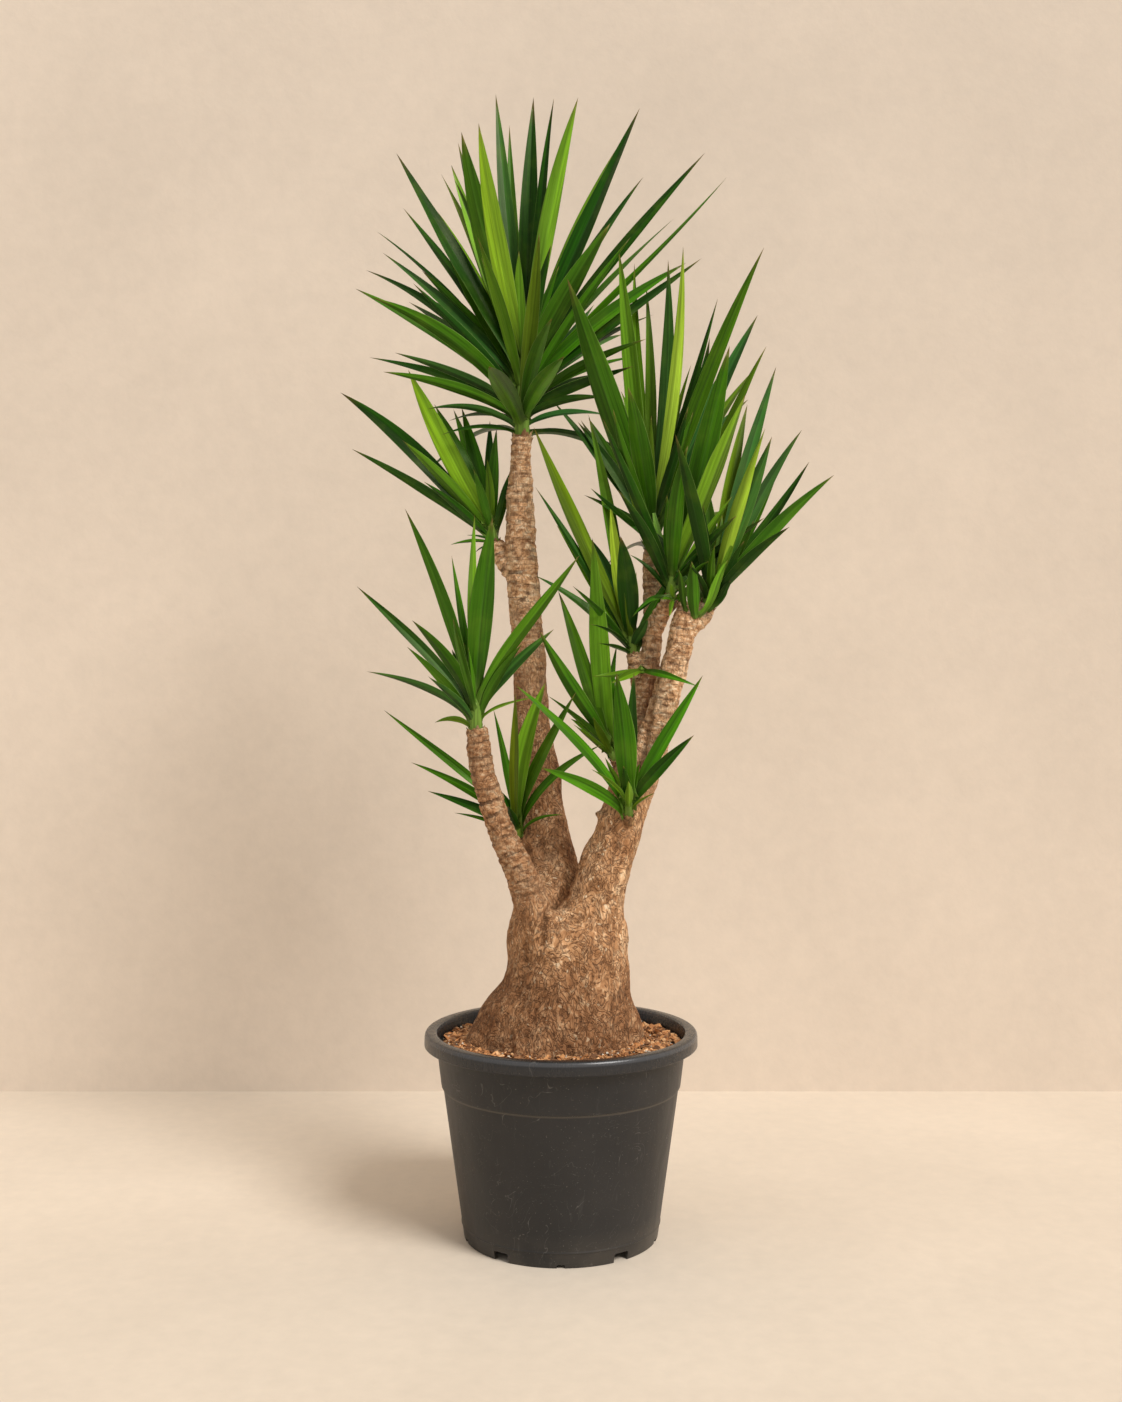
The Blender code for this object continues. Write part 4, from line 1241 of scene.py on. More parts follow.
@dataclass
class Filling:
    """Potting mix under a layer of bark chips with some perlite."""

    pot: NurseryPot
    underside: float = 26.35
    edge: float = 27.9
    mound: float = 0.7
    top: float = 29.0
    chips: int = 1500
    crumbs: int = 900
    perlite: int = 150
    browns: tuple[Colour, ...] = (
        shade(128, 84, 50), shade(162, 112, 70), shade(190, 136, 86), shade(104, 70, 44),
        shade(224, 176, 126), shade(176, 118, 70), shade(144, 100, 64), shade(206, 150, 98),
    )
    whites: tuple[Colour, ...] = (shade(214, 204, 186), shade(190, 176, 156))

    def bed(self, x: float, y: float) -> float:
        """Height of the bed under the chips at a place across the pot."""
        rise = self.mound * max(0.0, 1 - max(math.hypot(x, y) - 12.0, 0.0) / 6.5)
        return self.edge + rise + 0.3 * noise.noise(Vector((x * 0.35, y * 0.35, 1.0)))

    def trunk_reach(self, turn: float) -> float:
        """Distance from the pot's axis to the trunk at the bed's height.

        Args:
            turn: Direction round the axis, in radians.

        Returns:
            The distance.
        """
        _, across, back, half_width, half_depth = AT_MULCH
        u, v = cos(turn) / half_width, sin(turn) / half_depth
        p, q = across / half_width, back / half_depth
        a, b, c = u * u + v * v, -2 * (u * p + v * q), p * p + q * q - 1
        return (-b + math.sqrt(b * b - 4 * a * c)) / (2 * a)

    def build_bed(self) -> Object:
        """Makes the chips' bed in place of the CAD mulch.

        Returns:
            The bed.
        """
        around, rings = 240, 20
        points, faces = [], []
        wall = self.pot.inner_radius(self.edge) - 0.04
        shrunk = (self.pot.inner_radius(self.underside) - 0.04) / wall
        for k in range(rings):
            share = k / (rings - 1)
            for i in range(around):
                turn = 2 * pi * i / around
                inner = self.trunk_reach(turn) - 1.2
                away = inner + (wall - inner) * share
                x, y = away * cos(turn), away * sin(turn)
                rough = 0.22 * noise.noise(Vector((x * 1.7, y * 1.7, 5.0)))
                points.append((x, y, self.bed(x, y) - 0.25 + rough))
        for k in (rings - 1, 0):
            for i in range(around):
                x, y, _ = points[k * around + i]
                share = shrunk if k else 1.0
                points.append((x * share, y * share, self.underside))
        for k in range(rings + 2):
            for i in range(around):
                j, m = (i + 1) % around, (k + 1) % (rings + 2)
                faces.append((k * around + i, k * around + j, m * around + j, m * around + i))
        shape = Shape()
        shape.add(np.array(points), [face[::-1] for face in faces], [False] * len(faces))
        bed = shape.piece("mulch_bed", SoilFinish().material(), {})
        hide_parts("bark_mulch")
        return bed

    def hulls(self, chance: random.Random, count: int, flat: Point) -> list[tuple[np.ndarray, list]]:
        """Broken shapes that the chips are copies of.

        Args:
            chance: Source of the random numbers.
            count: How many shapes there are.
            flat: Their size along each axis.

        Returns:
            Points and faces of each.
        """
        made = []
        for _ in range(count):
            shape = bmesh.new()
            for _ in range(14):
                where = Vector([chance.gauss(0, 1) for _ in range(3)]).normalized()
                square = where / max(abs(v) for v in where)
                where = where.lerp(square, 0.6) * chance.uniform(0.75, 1.0)
                shape.verts.new([v * s for v, s in zip(where, flat)])
            hull = bmesh.ops.convex_hull(shape, input=shape.verts)
            inside = hull["geom_interior"] + hull["geom_unused"]
            spare = {part for part in inside if isinstance(part, bmesh.types.BMVert)}
            bmesh.ops.delete(shape, geom=list(spare), context="VERTS")
            shape.verts.index_update()
            points = np.array([v.co for v in shape.verts])
            made.append((points, [tuple(v.index for v in face.verts) for face in shape.faces]))
            shape.free()
        return made

    def spot(self, chance: random.Random) -> tuple[float, float]:
        """Chance place on the bed between the trunk and the wall.

        Args:
            chance: Source of the random numbers.

        Returns:
            Its place across and back.
        """
        turn = chance.uniform(0, 2 * pi)
        inner = self.trunk_reach(turn) - 0.4
        away = math.sqrt(chance.uniform(inner**2, (self.pot.inner_radius(self.edge) - 0.7) ** 2))
        return away * cos(turn), away * sin(turn)

    def strew(
        self, name: str, count: int, sizes: tuple[float, float], flat: Point,
        colours: Sequence[Colour], seed: int, lift: float,
    ) -> Object:
        """Strews pieces of one kind over the bed.

        Args:
            name: Name of the object.
            count: How many there are.
            sizes: Smallest and largest half length.
            flat: Their proportions.
            colours: What colours they have.
            seed: Seed of the random numbers.
            lift: How far they stack up.

        Returns:
            The new object.
        """
        chance = random.Random(seed)
        hulls = self.hulls(chance, 14, flat)
        shape = Shape()
        for _ in range(count):
            points, faces = hulls[chance.randrange(len(hulls))]
            size = sizes[0] + (sizes[1] - sizes[0]) * chance.random() ** 2.2
            tilt = Matrix.Rotation(chance.uniform(0, 2 * pi), 3, "Z")
            tilt = tilt @ Matrix.Rotation(chance.gauss(0, 0.5), 3, "X")
            tilt = tilt @ Matrix.Rotation(chance.gauss(0, 0.4), 3, "Y")
            x, y = self.spot(chance)
            height = min(self.bed(x, y) + chance.uniform(0, lift), self.top - size * 0.5)
            moved = points * size @ np.array(tilt).T + np.array((x, y, height))
            tone = chance.uniform(0.75, 1.25)
            colour = [v * tone for v in chance.choice(colours)] + [1.0]
            shape.add(moved, faces, [True] * len(faces), chip_colour=np.tile(colour, (len(points), 1)))
        made = shape.piece(name, ChipFinish().material(), {"chip_colour": Grain.COLOUR})
        return made

    def build(self) -> list[Object]:
        """Makes the bed and all that lies on it, and dresses the soil below.

        Returns:
            The bed and the pieces on it.
        """
        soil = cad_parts["potting_soil"]
        for slot in soil.material_slots:
            slot.material = SoilFinish().material()
        return [
            self.build_bed(),
            self.strew("bark_chips", self.chips, (0.35, 1.15), (1.0, 0.62, 0.3), self.browns, 11, 0.42),
            self.strew("bark_crumbs", self.crumbs, (0.12, 0.36), (1.0, 0.7, 0.55), self.browns, 12, 0.5),
            self.strew("perlite", self.perlite, (0.12, 0.28), (1.0, 0.85, 0.8), self.whites, 13, 0.55),
        ]


# --- Crowns ----------------------------------------------------------------------------------


@dataclass(frozen=True)
class Leaf:
    """One leaf, by where its tip shows and how far that lies behind the crown's foot."""

    across: float
    up: float
    back: float
    width: float
    tone: Tone | None = None  # by chance where it is left out
    bow: float = 0.0  # over 0 droops at the tip, under 0 turns up


@dataclass(frozen=True)
class Blade:
    """A leaf as it grew: its midrib, which way it faces, and how wide it is."""

    line: tuple[Vector, Vector, Vector, Vector]
    look: Vector
    width: float
    base_width: float
    tone: Tone


LEAF_FOLD = 0.22
LEAF_THICKNESS = 0.24
SECTION_AT = 0.5  # how far along a CAD leaf it is compared
ARCH_AT = 0.45  # how far along its free part a midrib arches
# The lighter tones go to upright leaves and, as painted light, to all leaves of the leaf-by-leaf crowns.
LIGHTER_TONES = ((Tone.MID, 5), (Tone.LIGHT, 3), (Tone.OLIVE, 2), (Tone.DARK, 2))
DARKER_TONES = ((Tone.DARK, 6), (Tone.MID, 3), (Tone.BLUE, 2), (Tone.OLIVE, 1))
SHOOT_GIRTH = ((0.0, 1.0), (0.45, 0.95), (0.85, 0.7), (1.0, 0.35))
SWINGS = [0] + [sign * step for step in (1.5, 3, 4.5, 6, 8, 10, 12, 15, 18) for sign in (1, -1)]
TWISTS = [0] + [sign * step for step in (12, 24, 36, 48) for sign in (1, -1)]
SHIFTS = [0, 0.1, -0.1, 0.2, -0.2, 0.3, -0.3]


def along(line: Sequence[Vector], t: float) -> tuple[Vector, Vector]:
    """Reads a midrib.

    Args:
        line: Its four control points.
        t: How far along it, from 0 to 1.

    Returns:
        The point there, and the direction that the midrib runs in.
    """
    a, b, c, d = line
    s = 1 - t
    point = a * s**3 + b * 3 * s * s * t + c * 3 * s * t * t + d * t**3
    slope = (b - a) * s * s + (c - b) * 2 * s * t + (d - c) * t * t
    return point, slope.normalized()


def blade_width(t: float, widest: float, base_width: float) -> float:
    """Width of a blade.

    Args:
        t: How far along it, from 0 to 1.
        widest: Its greatest width.
        base_width: Its width where it clasps the shoot.

    Returns:
        The width there.
    """
    base = min(base_width, 0.75 * widest + 0.25)
    swell = sin(pi * min(t / 1.12, 1.0) ** 0.85)
    return max(base * (1 - t) ** 3 + widest * swell * (1 - 0.55 * t**6), 0.03)


@dataclass(frozen=True)
class BladeMaker:
    """Builds blades as thin closed shells with a channel, a midrib and pale margins."""

    stations: int = 21
    ribs: tuple[float, ...] = (-1.0, -0.94, -0.6, -0.12, 0.0, 0.12, 0.6, 0.94, 1.0)
    thickness: float = 0.13
    widest: float = 0.54

    def add(self, shape: Shape, blade: Blade, chance: random.Random) -> None:
        """Adds one blade.

        Args:
            shape: The piece that it goes to.
            blade: The blade.
            chance: Source of its own small differences.
        """
        roll = radians(chance.gauss(0, 7))
        curl = radians(chance.gauss(0, 16))
        fold = LEAF_FOLD * chance.uniform(0.7, 1.5)
        wave = chance.uniform(0, 2 * pi)
        ripple = chance.uniform(0.02, 0.07)
        # Which half of the blade gets painted light; the other half gets painted shade.
        painted_lit_half = chance.choice((-1, 1))
        seed = chance.uniform(0, 40)
        length = sum((blade.line[k + 1] - blade.line[k]).length for k in range(3))
        tint = (chance.gauss(0.04, 0.08), chance.gauss(0, 0.04), chance.gauss(0, 0.08))
        tone = np.array(blade.tone.value) * np.exp(np.array(tint) + chance.gauss(0, 0.12))
        points, colours, places = [], [], []
        around = list(self.ribs) + [-u for u in self.ribs[1:-1]]
        for k in range(self.stations):
            t = (k / self.stations) ** 0.92
            centre, slope = along(blade.line, t)
            side = slope.cross(blade.look).normalized()
            upper = side.cross(slope).normalized()
            turn = Matrix.Rotation(roll * min(t * 4, 1.0) + curl * t * t, 3, slope)
            side, upper = turn @ side, turn @ upper
            half = self.half_width(t, blade)
            cup = fold + 0.5 * max(0.0, 1 - t / 0.16)
            for i, u in enumerate(around):
                top = i < len(self.ribs)
                bend = (math.sqrt(u * u + 0.015) - math.sqrt(0.015)) * cup * half
                bend += ripple * half * sin(t * 17 + wave) * abs(u) * u
                thick = self.thickness * (1 - 0.45 * t) * (1 - abs(u) ** 2.5) / 2
                keel = 0.055 * max(0.0, 1 - abs(u) / 0.14) * (1 - t)
                rise = bend + thick if top else bend - thick - keel
                points.append(centre + side * (half * u) + upper * rise)
                colours.append(self.colour(tone, t, u, top, painted_lit_half))
                places.append((half * u, t * length, seed))
        points.append(blade.line[3])
        colours.append(DRIED_TIP)
        places.append((0.0, length, seed))
        shape.add(
            np.array(points), self.faces(len(around)), [False] * (len(around) * self.stations + 1),
            blade_colour=np.hstack([np.array(colours), np.ones((len(colours), 1))]),
            blade_place=np.array(places),
        )

    def half_width(self, t: float, blade: Blade) -> float:
        """Half of a blade's width: a clasping foot, a narrow neck, and widest half-way up.

        Args:
            t: How far along the blade it is.
            blade: The blade.

        Returns:
            Half of the width there.
        """
        clasp = blade.base_width * max(0.0, 1 - t / 0.18) ** 1.5
        taper = min(1.5 + 0.2 * blade.width, 2.1)
        if t < self.widest:
            swell = 0.34 + 0.66 * sin(pi / 2 * t / self.widest) ** 1.2
        else:
            swell = 1 - ((t - self.widest) / (1 - self.widest)) ** taper
        return max(clasp + blade.width * swell, 0.03) / 2

    def colour(self, tone: np.ndarray, t: float, u: float, top: bool, painted_lit_half: int) -> np.ndarray:
        """Colour of one point of a blade, with painted light and shade in it.

        Args:
            tone: The leaf's own colour.
            t: How far along the blade it is.
            u: How far across, from -1 to 1.
            top: Whether it lies on the upper face.
            painted_lit_half: The half that is painted a little lighter as if lit, the other half darker as
                if shaded, -1 or 1.

        Returns:
            The colour.
        """
        # Painted light and shade: one half of the blade lighter as if lit, the other darker as if shaded,
        # and the whole blade darker towards its foot as painted shade in the crown's heart.
        made = tone * (1.48 if u * painted_lit_half > 0.05 else 0.88) * min(1.0, 0.5 + 1.4 * t)
        # Painted highlight along the midrib's fold.
        if abs(u) < 0.05:
            made = made * 1.5 + 0.008
        # Painted shade on the underside, which is also tinted a little greener.
        if not top:
            made = made * 0.88 + np.array((0.003, 0.01, 0.003))
        if abs(u) > 0.97:
            made = made * 0.35 + np.array(PALE_MARGIN) * 0.65
        foot = max(0.0, 1 - t / 0.2) ** 1.5
        made = made * (1 - 0.75 * foot) + np.array(PALE_BASE) * 0.75 * foot
        tip = max(0.0, (t - 0.94) / 0.06)
        return made * (1 - tip) + np.array(DRIED_TIP) * tip

    def faces(self, count: int) -> list[tuple[int, ...]]:
        """Faces of a blade: its foot, its sides and its tip.

        Args:
            count: How many points go round it.

        Returns:
            The faces, pointing out.
        """
        made = [tuple(range(count))]
        for ring in range(self.stations - 1):
            for i in range(count):
                a, b = ring * count + i, ring * count + (i + 1) % count
                made.append((b, a, a + count, b + count))
        last = (self.stations - 1) * count
        made += [(last + (i + 1) % count, last + i, last + count) for i in range(count)]
        return made


@dataclass
class Crown:
    """One head of leaves on its green shoot."""

    name: str
    foot: Point  # across, up and back
    grows: Point  # the direction that it grows in
    shoot: tuple[float, float]  # length and radius
    run: float  # how far a leaf follows the shoot before it turns out
    leaves: tuple[Leaf, ...]
    leaf_by_leaf: bool = False
    rear_leaves: int = 0
    rear_lean: tuple[float, float] = (0.0, 0.0)
    rear_length: float = 0.0
    rear_tucked: tuple[int, ...] = ()  # numbers of the rear leaves that grow up and straight back
    young_leaves: int = 0
    young_length: float = 0.0
    sprouts: tuple[tuple[Point, Point, float], ...] = ()  # foot, tip and width of each

    def frame(self) -> tuple[Vector, Vector]:
        """The crown's foot and the direction that it grows in."""
        return place(*self.foot), Vector(self.grows).normalized()

    def girth_at(self, height: float) -> float:
        """The shoot's radius at a height above its foot."""
        length, radius = self.shoot
        return radius * float(np.interp(height / length, *zip(*SHOOT_GIRTH)))

    def leaf_line(self, tip: Vector, height: float, bow: float, twist: float = 0.0) -> tuple[Vector, ...]:
        """Lays a midrib from the shoot's side to a tip.

        Args:
            tip: The leaf's tip.
            height: Where it starts above the crown's foot.
            bow: How far it arches.
            twist: How far round the shoot it starts, in degrees.

        Returns:
            The four control points.
        """
        foot, axis = self.frame()
        radius = self.girth_at(height)
        reach = tip - foot
        outward = (reach - axis * reach.dot(axis)).normalized()
        outward.rotate(Matrix.Rotation(radians(twist), 3, axis))
        depth = 0.72 if self.leaf_by_leaf else 0.45
        start = foot + axis * height + outward * radius * depth
        lean = math.degrees(reach.angle(axis))
        run = self.run * max(0.35, 1 - lean / 120)
        turn_out = start + axis * run + outward * (run * lean / 90 + radius * (1 - depth))
        span = tip - turn_out
        lift = (axis - span.normalized() * axis.dot(span.normalized())) * bow
        return start, turn_out, turn_out + span * ARCH_AT + lift, tip

    def facing(self, line: Sequence[Vector], turned: float = 0.9) -> Vector:
        """Which way a blade's upper face looks.

        Args:
            line: The blade's midrib.
            turned: How far it turns from the crown's axis to the front or the rear.

        Returns:
            The direction.
        """
        _, axis = self.frame()
        _, slope = along(line, 0.5)
        upper = axis - slope * axis.dot(slope)
        upper = upper.normalized() if upper.length > 0.15 else Vector((0, -1, 0))
        front = Vector((0, -1, 0)) if upper.y <= 0.05 else Vector((0, 1, 0))
        return (upper + front * turned).normalized()

    def rear_tips(self) -> list[tuple[Vector, float]]:
        """Tips and widths of the leaves on the crown's far side.

        Returns:
            The tip and the width of each.
        """
        foot, axis = self.frame()
        chance = random.Random(self.name)
        low, high = self.rear_lean
        tips = []
        for k in range(self.rear_leaves):
            share = (k + 0.5) / self.rear_leaves
            turn = radians(100) * (((k * GOLDEN_ANGLE / pi) % 2) - 1)
            lean = radians(low + (high - low) * share)
            length = self.rear_length * chance.uniform(0.8, 1.1)
            width = chance.uniform(1.4, 2.4)
            if k in self.rear_tucked:
                turn *= 0.35
                lean *= 0.5
            around = Vector((sin(turn), cos(turn), 0.0))
            direction = (axis * cos(lean) + around * sin(lean)).normalized()
            tips.append((foot + direction * length, width))
        return tips

    def grown(self) -> list[Leaf]:
        """All the leaves of the CAD model.

        Returns:
            The leaves, the most spreading first.
        """
        foot, axis = self.frame()
        leaves = list(self.leaves)
        for tip, width in self.rear_tips():
            reach = (VIEW_DISTANCE + tip.y) / VIEW_DISTANCE
            up = VIEW_HEIGHT + (tip.z - VIEW_HEIGHT) / reach
            leaves.append(Leaf(tip.x / reach, up, tip.y - self.foot[2], width))
        return sorted(leaves, key=lambda leaf: -(self.tip(leaf) - foot).angle(axis))

    def tip(self, leaf: Leaf, swing: float = 0.0) -> Vector:
        """The leaf's tip, swung back by some way."""
        return place(leaf.across, leaf.up, self.foot[2] + leaf.back + swing)

    def section(self, line: Sequence[Vector], width: float, t: float) -> list[Vector]:
        """The four corners of the CAD leaf's section at a place along it.

        Args:
            line: The midrib.
            width: The leaf's width.
            t: Where the section is.

        Returns:
            The corners.
        """
        look = self.facing(line)
        centre, slope = along(line, t)
        side = slope.cross(look).normalized()
        upper = side.cross(slope).normalized()
        half = blade_width(t, width, 0.62 if self.leaf_by_leaf else 0.95) / 2
        thick = LEAF_THICKNESS * (1 - 0.5 * t) / 2
        fold = upper * half * LEAF_FOLD
        right, left = centre + side * half + fold, centre - side * half + fold
        return [right, centre + upper * thick, left, centre - upper * thick]

    def follow(self, leaf: Leaf, height: float, corners: kdtree.KDTree) -> tuple[Vector, ...] | None:
        """Finds how the CAD model's leaf was swung clear of its neighbours.

        Args:
            leaf: The leaf.
            height: Where it was meant to start on the shoot.
            corners: The corners of its CAD node.

        Returns:
            Its midrib, or None where the CAD model has no such leaf.
        """
        swings = [s for s in SWINGS if corners.find(self.tip(leaf, s))[2] < 0.04]
        length, _ = self.shoot
        best = None
        for swing in swings:
            for twist in TWISTS if self.leaf_by_leaf else [0]:
                for shift in SHIFTS if self.leaf_by_leaf else [0]:
                    start = min(max(height + shift * length, 0.0), 0.95 * length)
                    line = self.leaf_line(self.tip(leaf, swing), start, leaf.bow, twist)
                    section = self.section(line, leaf.width, SECTION_AT)
                    miss = max(corners.find(point)[2] for point in section)
                    if best is None or miss < best[0]:
                        best = (miss, line)
        return best[1] if best else None

    def own_tone(self, chance: random.Random, lean: float) -> Tone:
        """Chance colour of a leaf: the younger and more upright, the lighter; leaf-by-leaf crowns, in the
        top crown's shade, get the lighter tones as painted light.
        """
        tones = LIGHTER_TONES if lean < 28 or self.leaf_by_leaf else DARKER_TONES
        return chance.choices(*zip(*tones))[0]

    def blade(
        self, line: tuple[Vector, ...], width: float, tone: Tone | None, chance: random.Random
    ) -> Blade:
        """A blade that grows along a midrib.

        Args:
            line: The midrib.
            width: Its greatest width.
            tone: Its colour, by chance where it is None.
            chance: Source of the random numbers.

        Returns:
            The blade.
        """
        foot, axis = self.frame()
        lean = (line[3] - foot).angle(axis)
        drawn = self.own_tone(chance, math.degrees(lean))
        bowed = line[2] - line[1].lerp(line[3], ARCH_AT)
        rise = 0.12 + 0.9 * max(0.0, 1 - lean / 1.5)
        rise *= 0.2 if self.leaf_by_leaf else min(self.shoot[0] / 7, 1.0) ** 2
        start = line[0] + axis * self.shoot[0] * rise
        span = line[3] - start
        ahead = span.normalized()
        outward = (span - axis * span.dot(axis)).normalized()
        tilt = 0.35 * lean if self.leaf_by_leaf else 0.5 * lean + 0.25
        turn_out = start + (axis * cos(tilt) + outward * sin(tilt)) * span.length * 0.18
        lift = axis - ahead * axis.dot(ahead)
        look = self.facing(line, 0.7 + 0.55 * width)
        sway = ahead.cross(look).normalized() * chance.gauss(0, 0.9)
        arch = lift * chance.gauss(0.2 + 1.1 * min(lean, 1.3), 0.9) * (0.2 if bowed.length > 0.3 else 1.0)
        middle = turn_out.lerp(line[3], ARCH_AT) + bowed + (arch + sway) * span.length / 30
        full = width + max(0.0, 2.5 - width) * 0.2 * min(max((span.length - 11) / 14, 0.0), 1.0)
        full *= 1.1 - 0.1 * lean
        return Blade((start, turn_out, middle, line[3]), look, full, 0.6 + 0.4 * width, tone or drawn)

    def young(self, chance: random.Random) -> list[Blade]:
        """Short leaves that fill the crown's heart.

        Args:
            chance: Source of the random numbers.

        Returns:
            Their blades.
        """
        foot, axis = self.frame()
        across = axis.cross(Vector((0, 1, 0))).normalized()
        ahead = across.cross(axis)
        blades = []
        for k in range(self.young_leaves):
            share = (k + 0.5) / self.young_leaves
            turn = k * GOLDEN_ANGLE
            lean = radians(4 + 40 * share)
            direction = axis * cos(lean)
            direction += (across * cos(turn) + ahead * sin(turn)) * sin(lean)
            height = self.shoot[0] * (1 - 0.9 * share)
            length = self.young_length * (0.55 + 0.45 * share) * chance.uniform(0.85, 1.1)
            line = self.leaf_line(foot + axis * height + direction * length, height, chance.uniform(0, 1.0))
            width = chance.uniform(1.1, 1.9) * (0.45 + 0.055 * length ** 0.75)
            blades.append(self.blade(line, width, None, chance))
        return blades

    def sprouted(self, chance: random.Random) -> list[Blade]:
        """Small leaves that sprout from the bark beside the shoot.

        Args:
            chance: Source of the random numbers.

        Returns:
            Their blades.
        """
        blades = []
        for start, tip, width in self.sprouts:
            low, high = place(*start), place(*tip)
            span = high - low
            out = low + Vector((span.x * 0.6, -0.6, max(span.z, 1.0) * 0.2))
            line = (low, out, low.lerp(high, 0.5) + Vector((0, -0.4, 0.12 * span.length)), high)
            tone = chance.choice((Tone.DARK, Tone.MID, Tone.MID, Tone.LIGHT))
            blades.append(Blade(line, self.facing(line, 1.4), width, 0.5 * width, tone))
        return blades

    def stalk(self, shape: Shape) -> None:
        """Adds the green shoot, ringed where its leaves clasp it.

        Args:
            shape: The piece that it goes to.
        """
        foot, axis = self.frame()
        taller = 1.0 if self.leaf_by_leaf else 1.4
        length = self.shoot[0] * taller
        turned_to = axis.to_track_quat("Z", "X").to_matrix()
        sides, rings, points, colours = 20, 20, [], []
        for k in range(rings):
            height = -0.7 + (length + 0.7) * k / (rings - 1)
            radius = self.girth_at(max(height, 0.0) / taller) * (0.93 + 0.07 * (k % 2))
            for i in range(sides):
                turn = 2 * pi * i / sides
                out = turned_to @ Vector((cos(turn), sin(turn), 0))
                points.append(foot + axis * height + out * radius)
                colours.append((*PALE_BASE, 1.0))
        faces = [tuple(reversed(range(sides)))]
        for ring in range(rings - 1):
            for i in range(sides):
                a, b = ring * sides + i, ring * sides + (i + 1) % sides
                faces.append((a, b, b + sides, a + sides))
        faces.append(tuple(range((rings - 1) * sides, rings * sides)))
        places = np.array([(p.x, p.z, 1.0) for p in points])
        shape.add(
            np.array(points), faces, [False] * len(faces), blade_colour=np.array(colours), blade_place=places
        )

    def finish(self, shape: Shape, name: str, finish: Material, node: str, slot: str) -> Object:
        """Makes one piece of the crown in place of its CAD node.

        Args:
            shape: Its shape.
            name: Name of the piece.
            finish: Its material.
            node: The CAD node that it stands for.
            slot: Not used.

        Returns:
            The piece.
        """
        made = shape.piece(name, finish, {"blade_colour": Grain.COLOUR, "blade_place": Grain.VECTOR})
        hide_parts(node)
        return made

    def build(self, finish: Material, maker: BladeMaker) -> list[Object]:
        """Makes the crown's pieces.

        Args:
            finish: The leaves' material.
            maker: Builder of the blades.

        Returns:
            The pieces.
        """
        chance = random.Random(self.name + " blades")
        grown = self.grown()
        single = self.leaf_by_leaf
        heart = Shape()
        self.stalk(heart)
        made, number = [], 1
        for rank, leaf in enumerate(grown):
            node = f"{self.name}_leaf_{number:02d}" if single else f"{self.name}_rosette"
            height = self.shoot[0] * (rank + 0.3) / len(grown)
            line = self.follow(leaf, height, corners_of(node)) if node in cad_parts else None
            found = line is not None
            if not found:
                line = self.leaf_line(self.tip(leaf), height, leaf.bow)
            blade = self.blade(line, leaf.width, leaf.tone, chance)
            if single and found:
                shape = Shape()
                maker.add(shape, blade, chance)
                made.append(self.finish(shape, f"{self.name}_blade_{number:02d}", finish, node, "leaf"))
                number += 1
            else:
                maker.add(heart, blade, chance)
        for blade in self.young(chance) + self.sprouted(chance):
            maker.add(heart, blade, chance)
        whole = f"{self.name}_shoot" if single else f"{self.name}_rosette"
        name = f"{self.name}_heart" if single else f"{self.name}_leaves"
        made.append(self.finish(heart, name, finish, whole, "green_shoot" if single else "leaf"))
        if single:
            log.info("%s: %d of %d leaves found in the frame", self.name, number - 1, len(grown))
        return made


@cache
def corners_of(node: str) -> kdtree.KDTree:
    """Search tree of a CAD node's corners, in centimetres.

    Args:
        node: Name of the node.

    Returns:
        The tree, made once for each node.
    """
    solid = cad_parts[node]
    tree = kdtree.KDTree(len(solid.data.vertices))
    for vertex in solid.data.vertices:
        tree.insert(solid.matrix_world @ vertex.co / CM, vertex.index)
    tree.balance()
    return tree


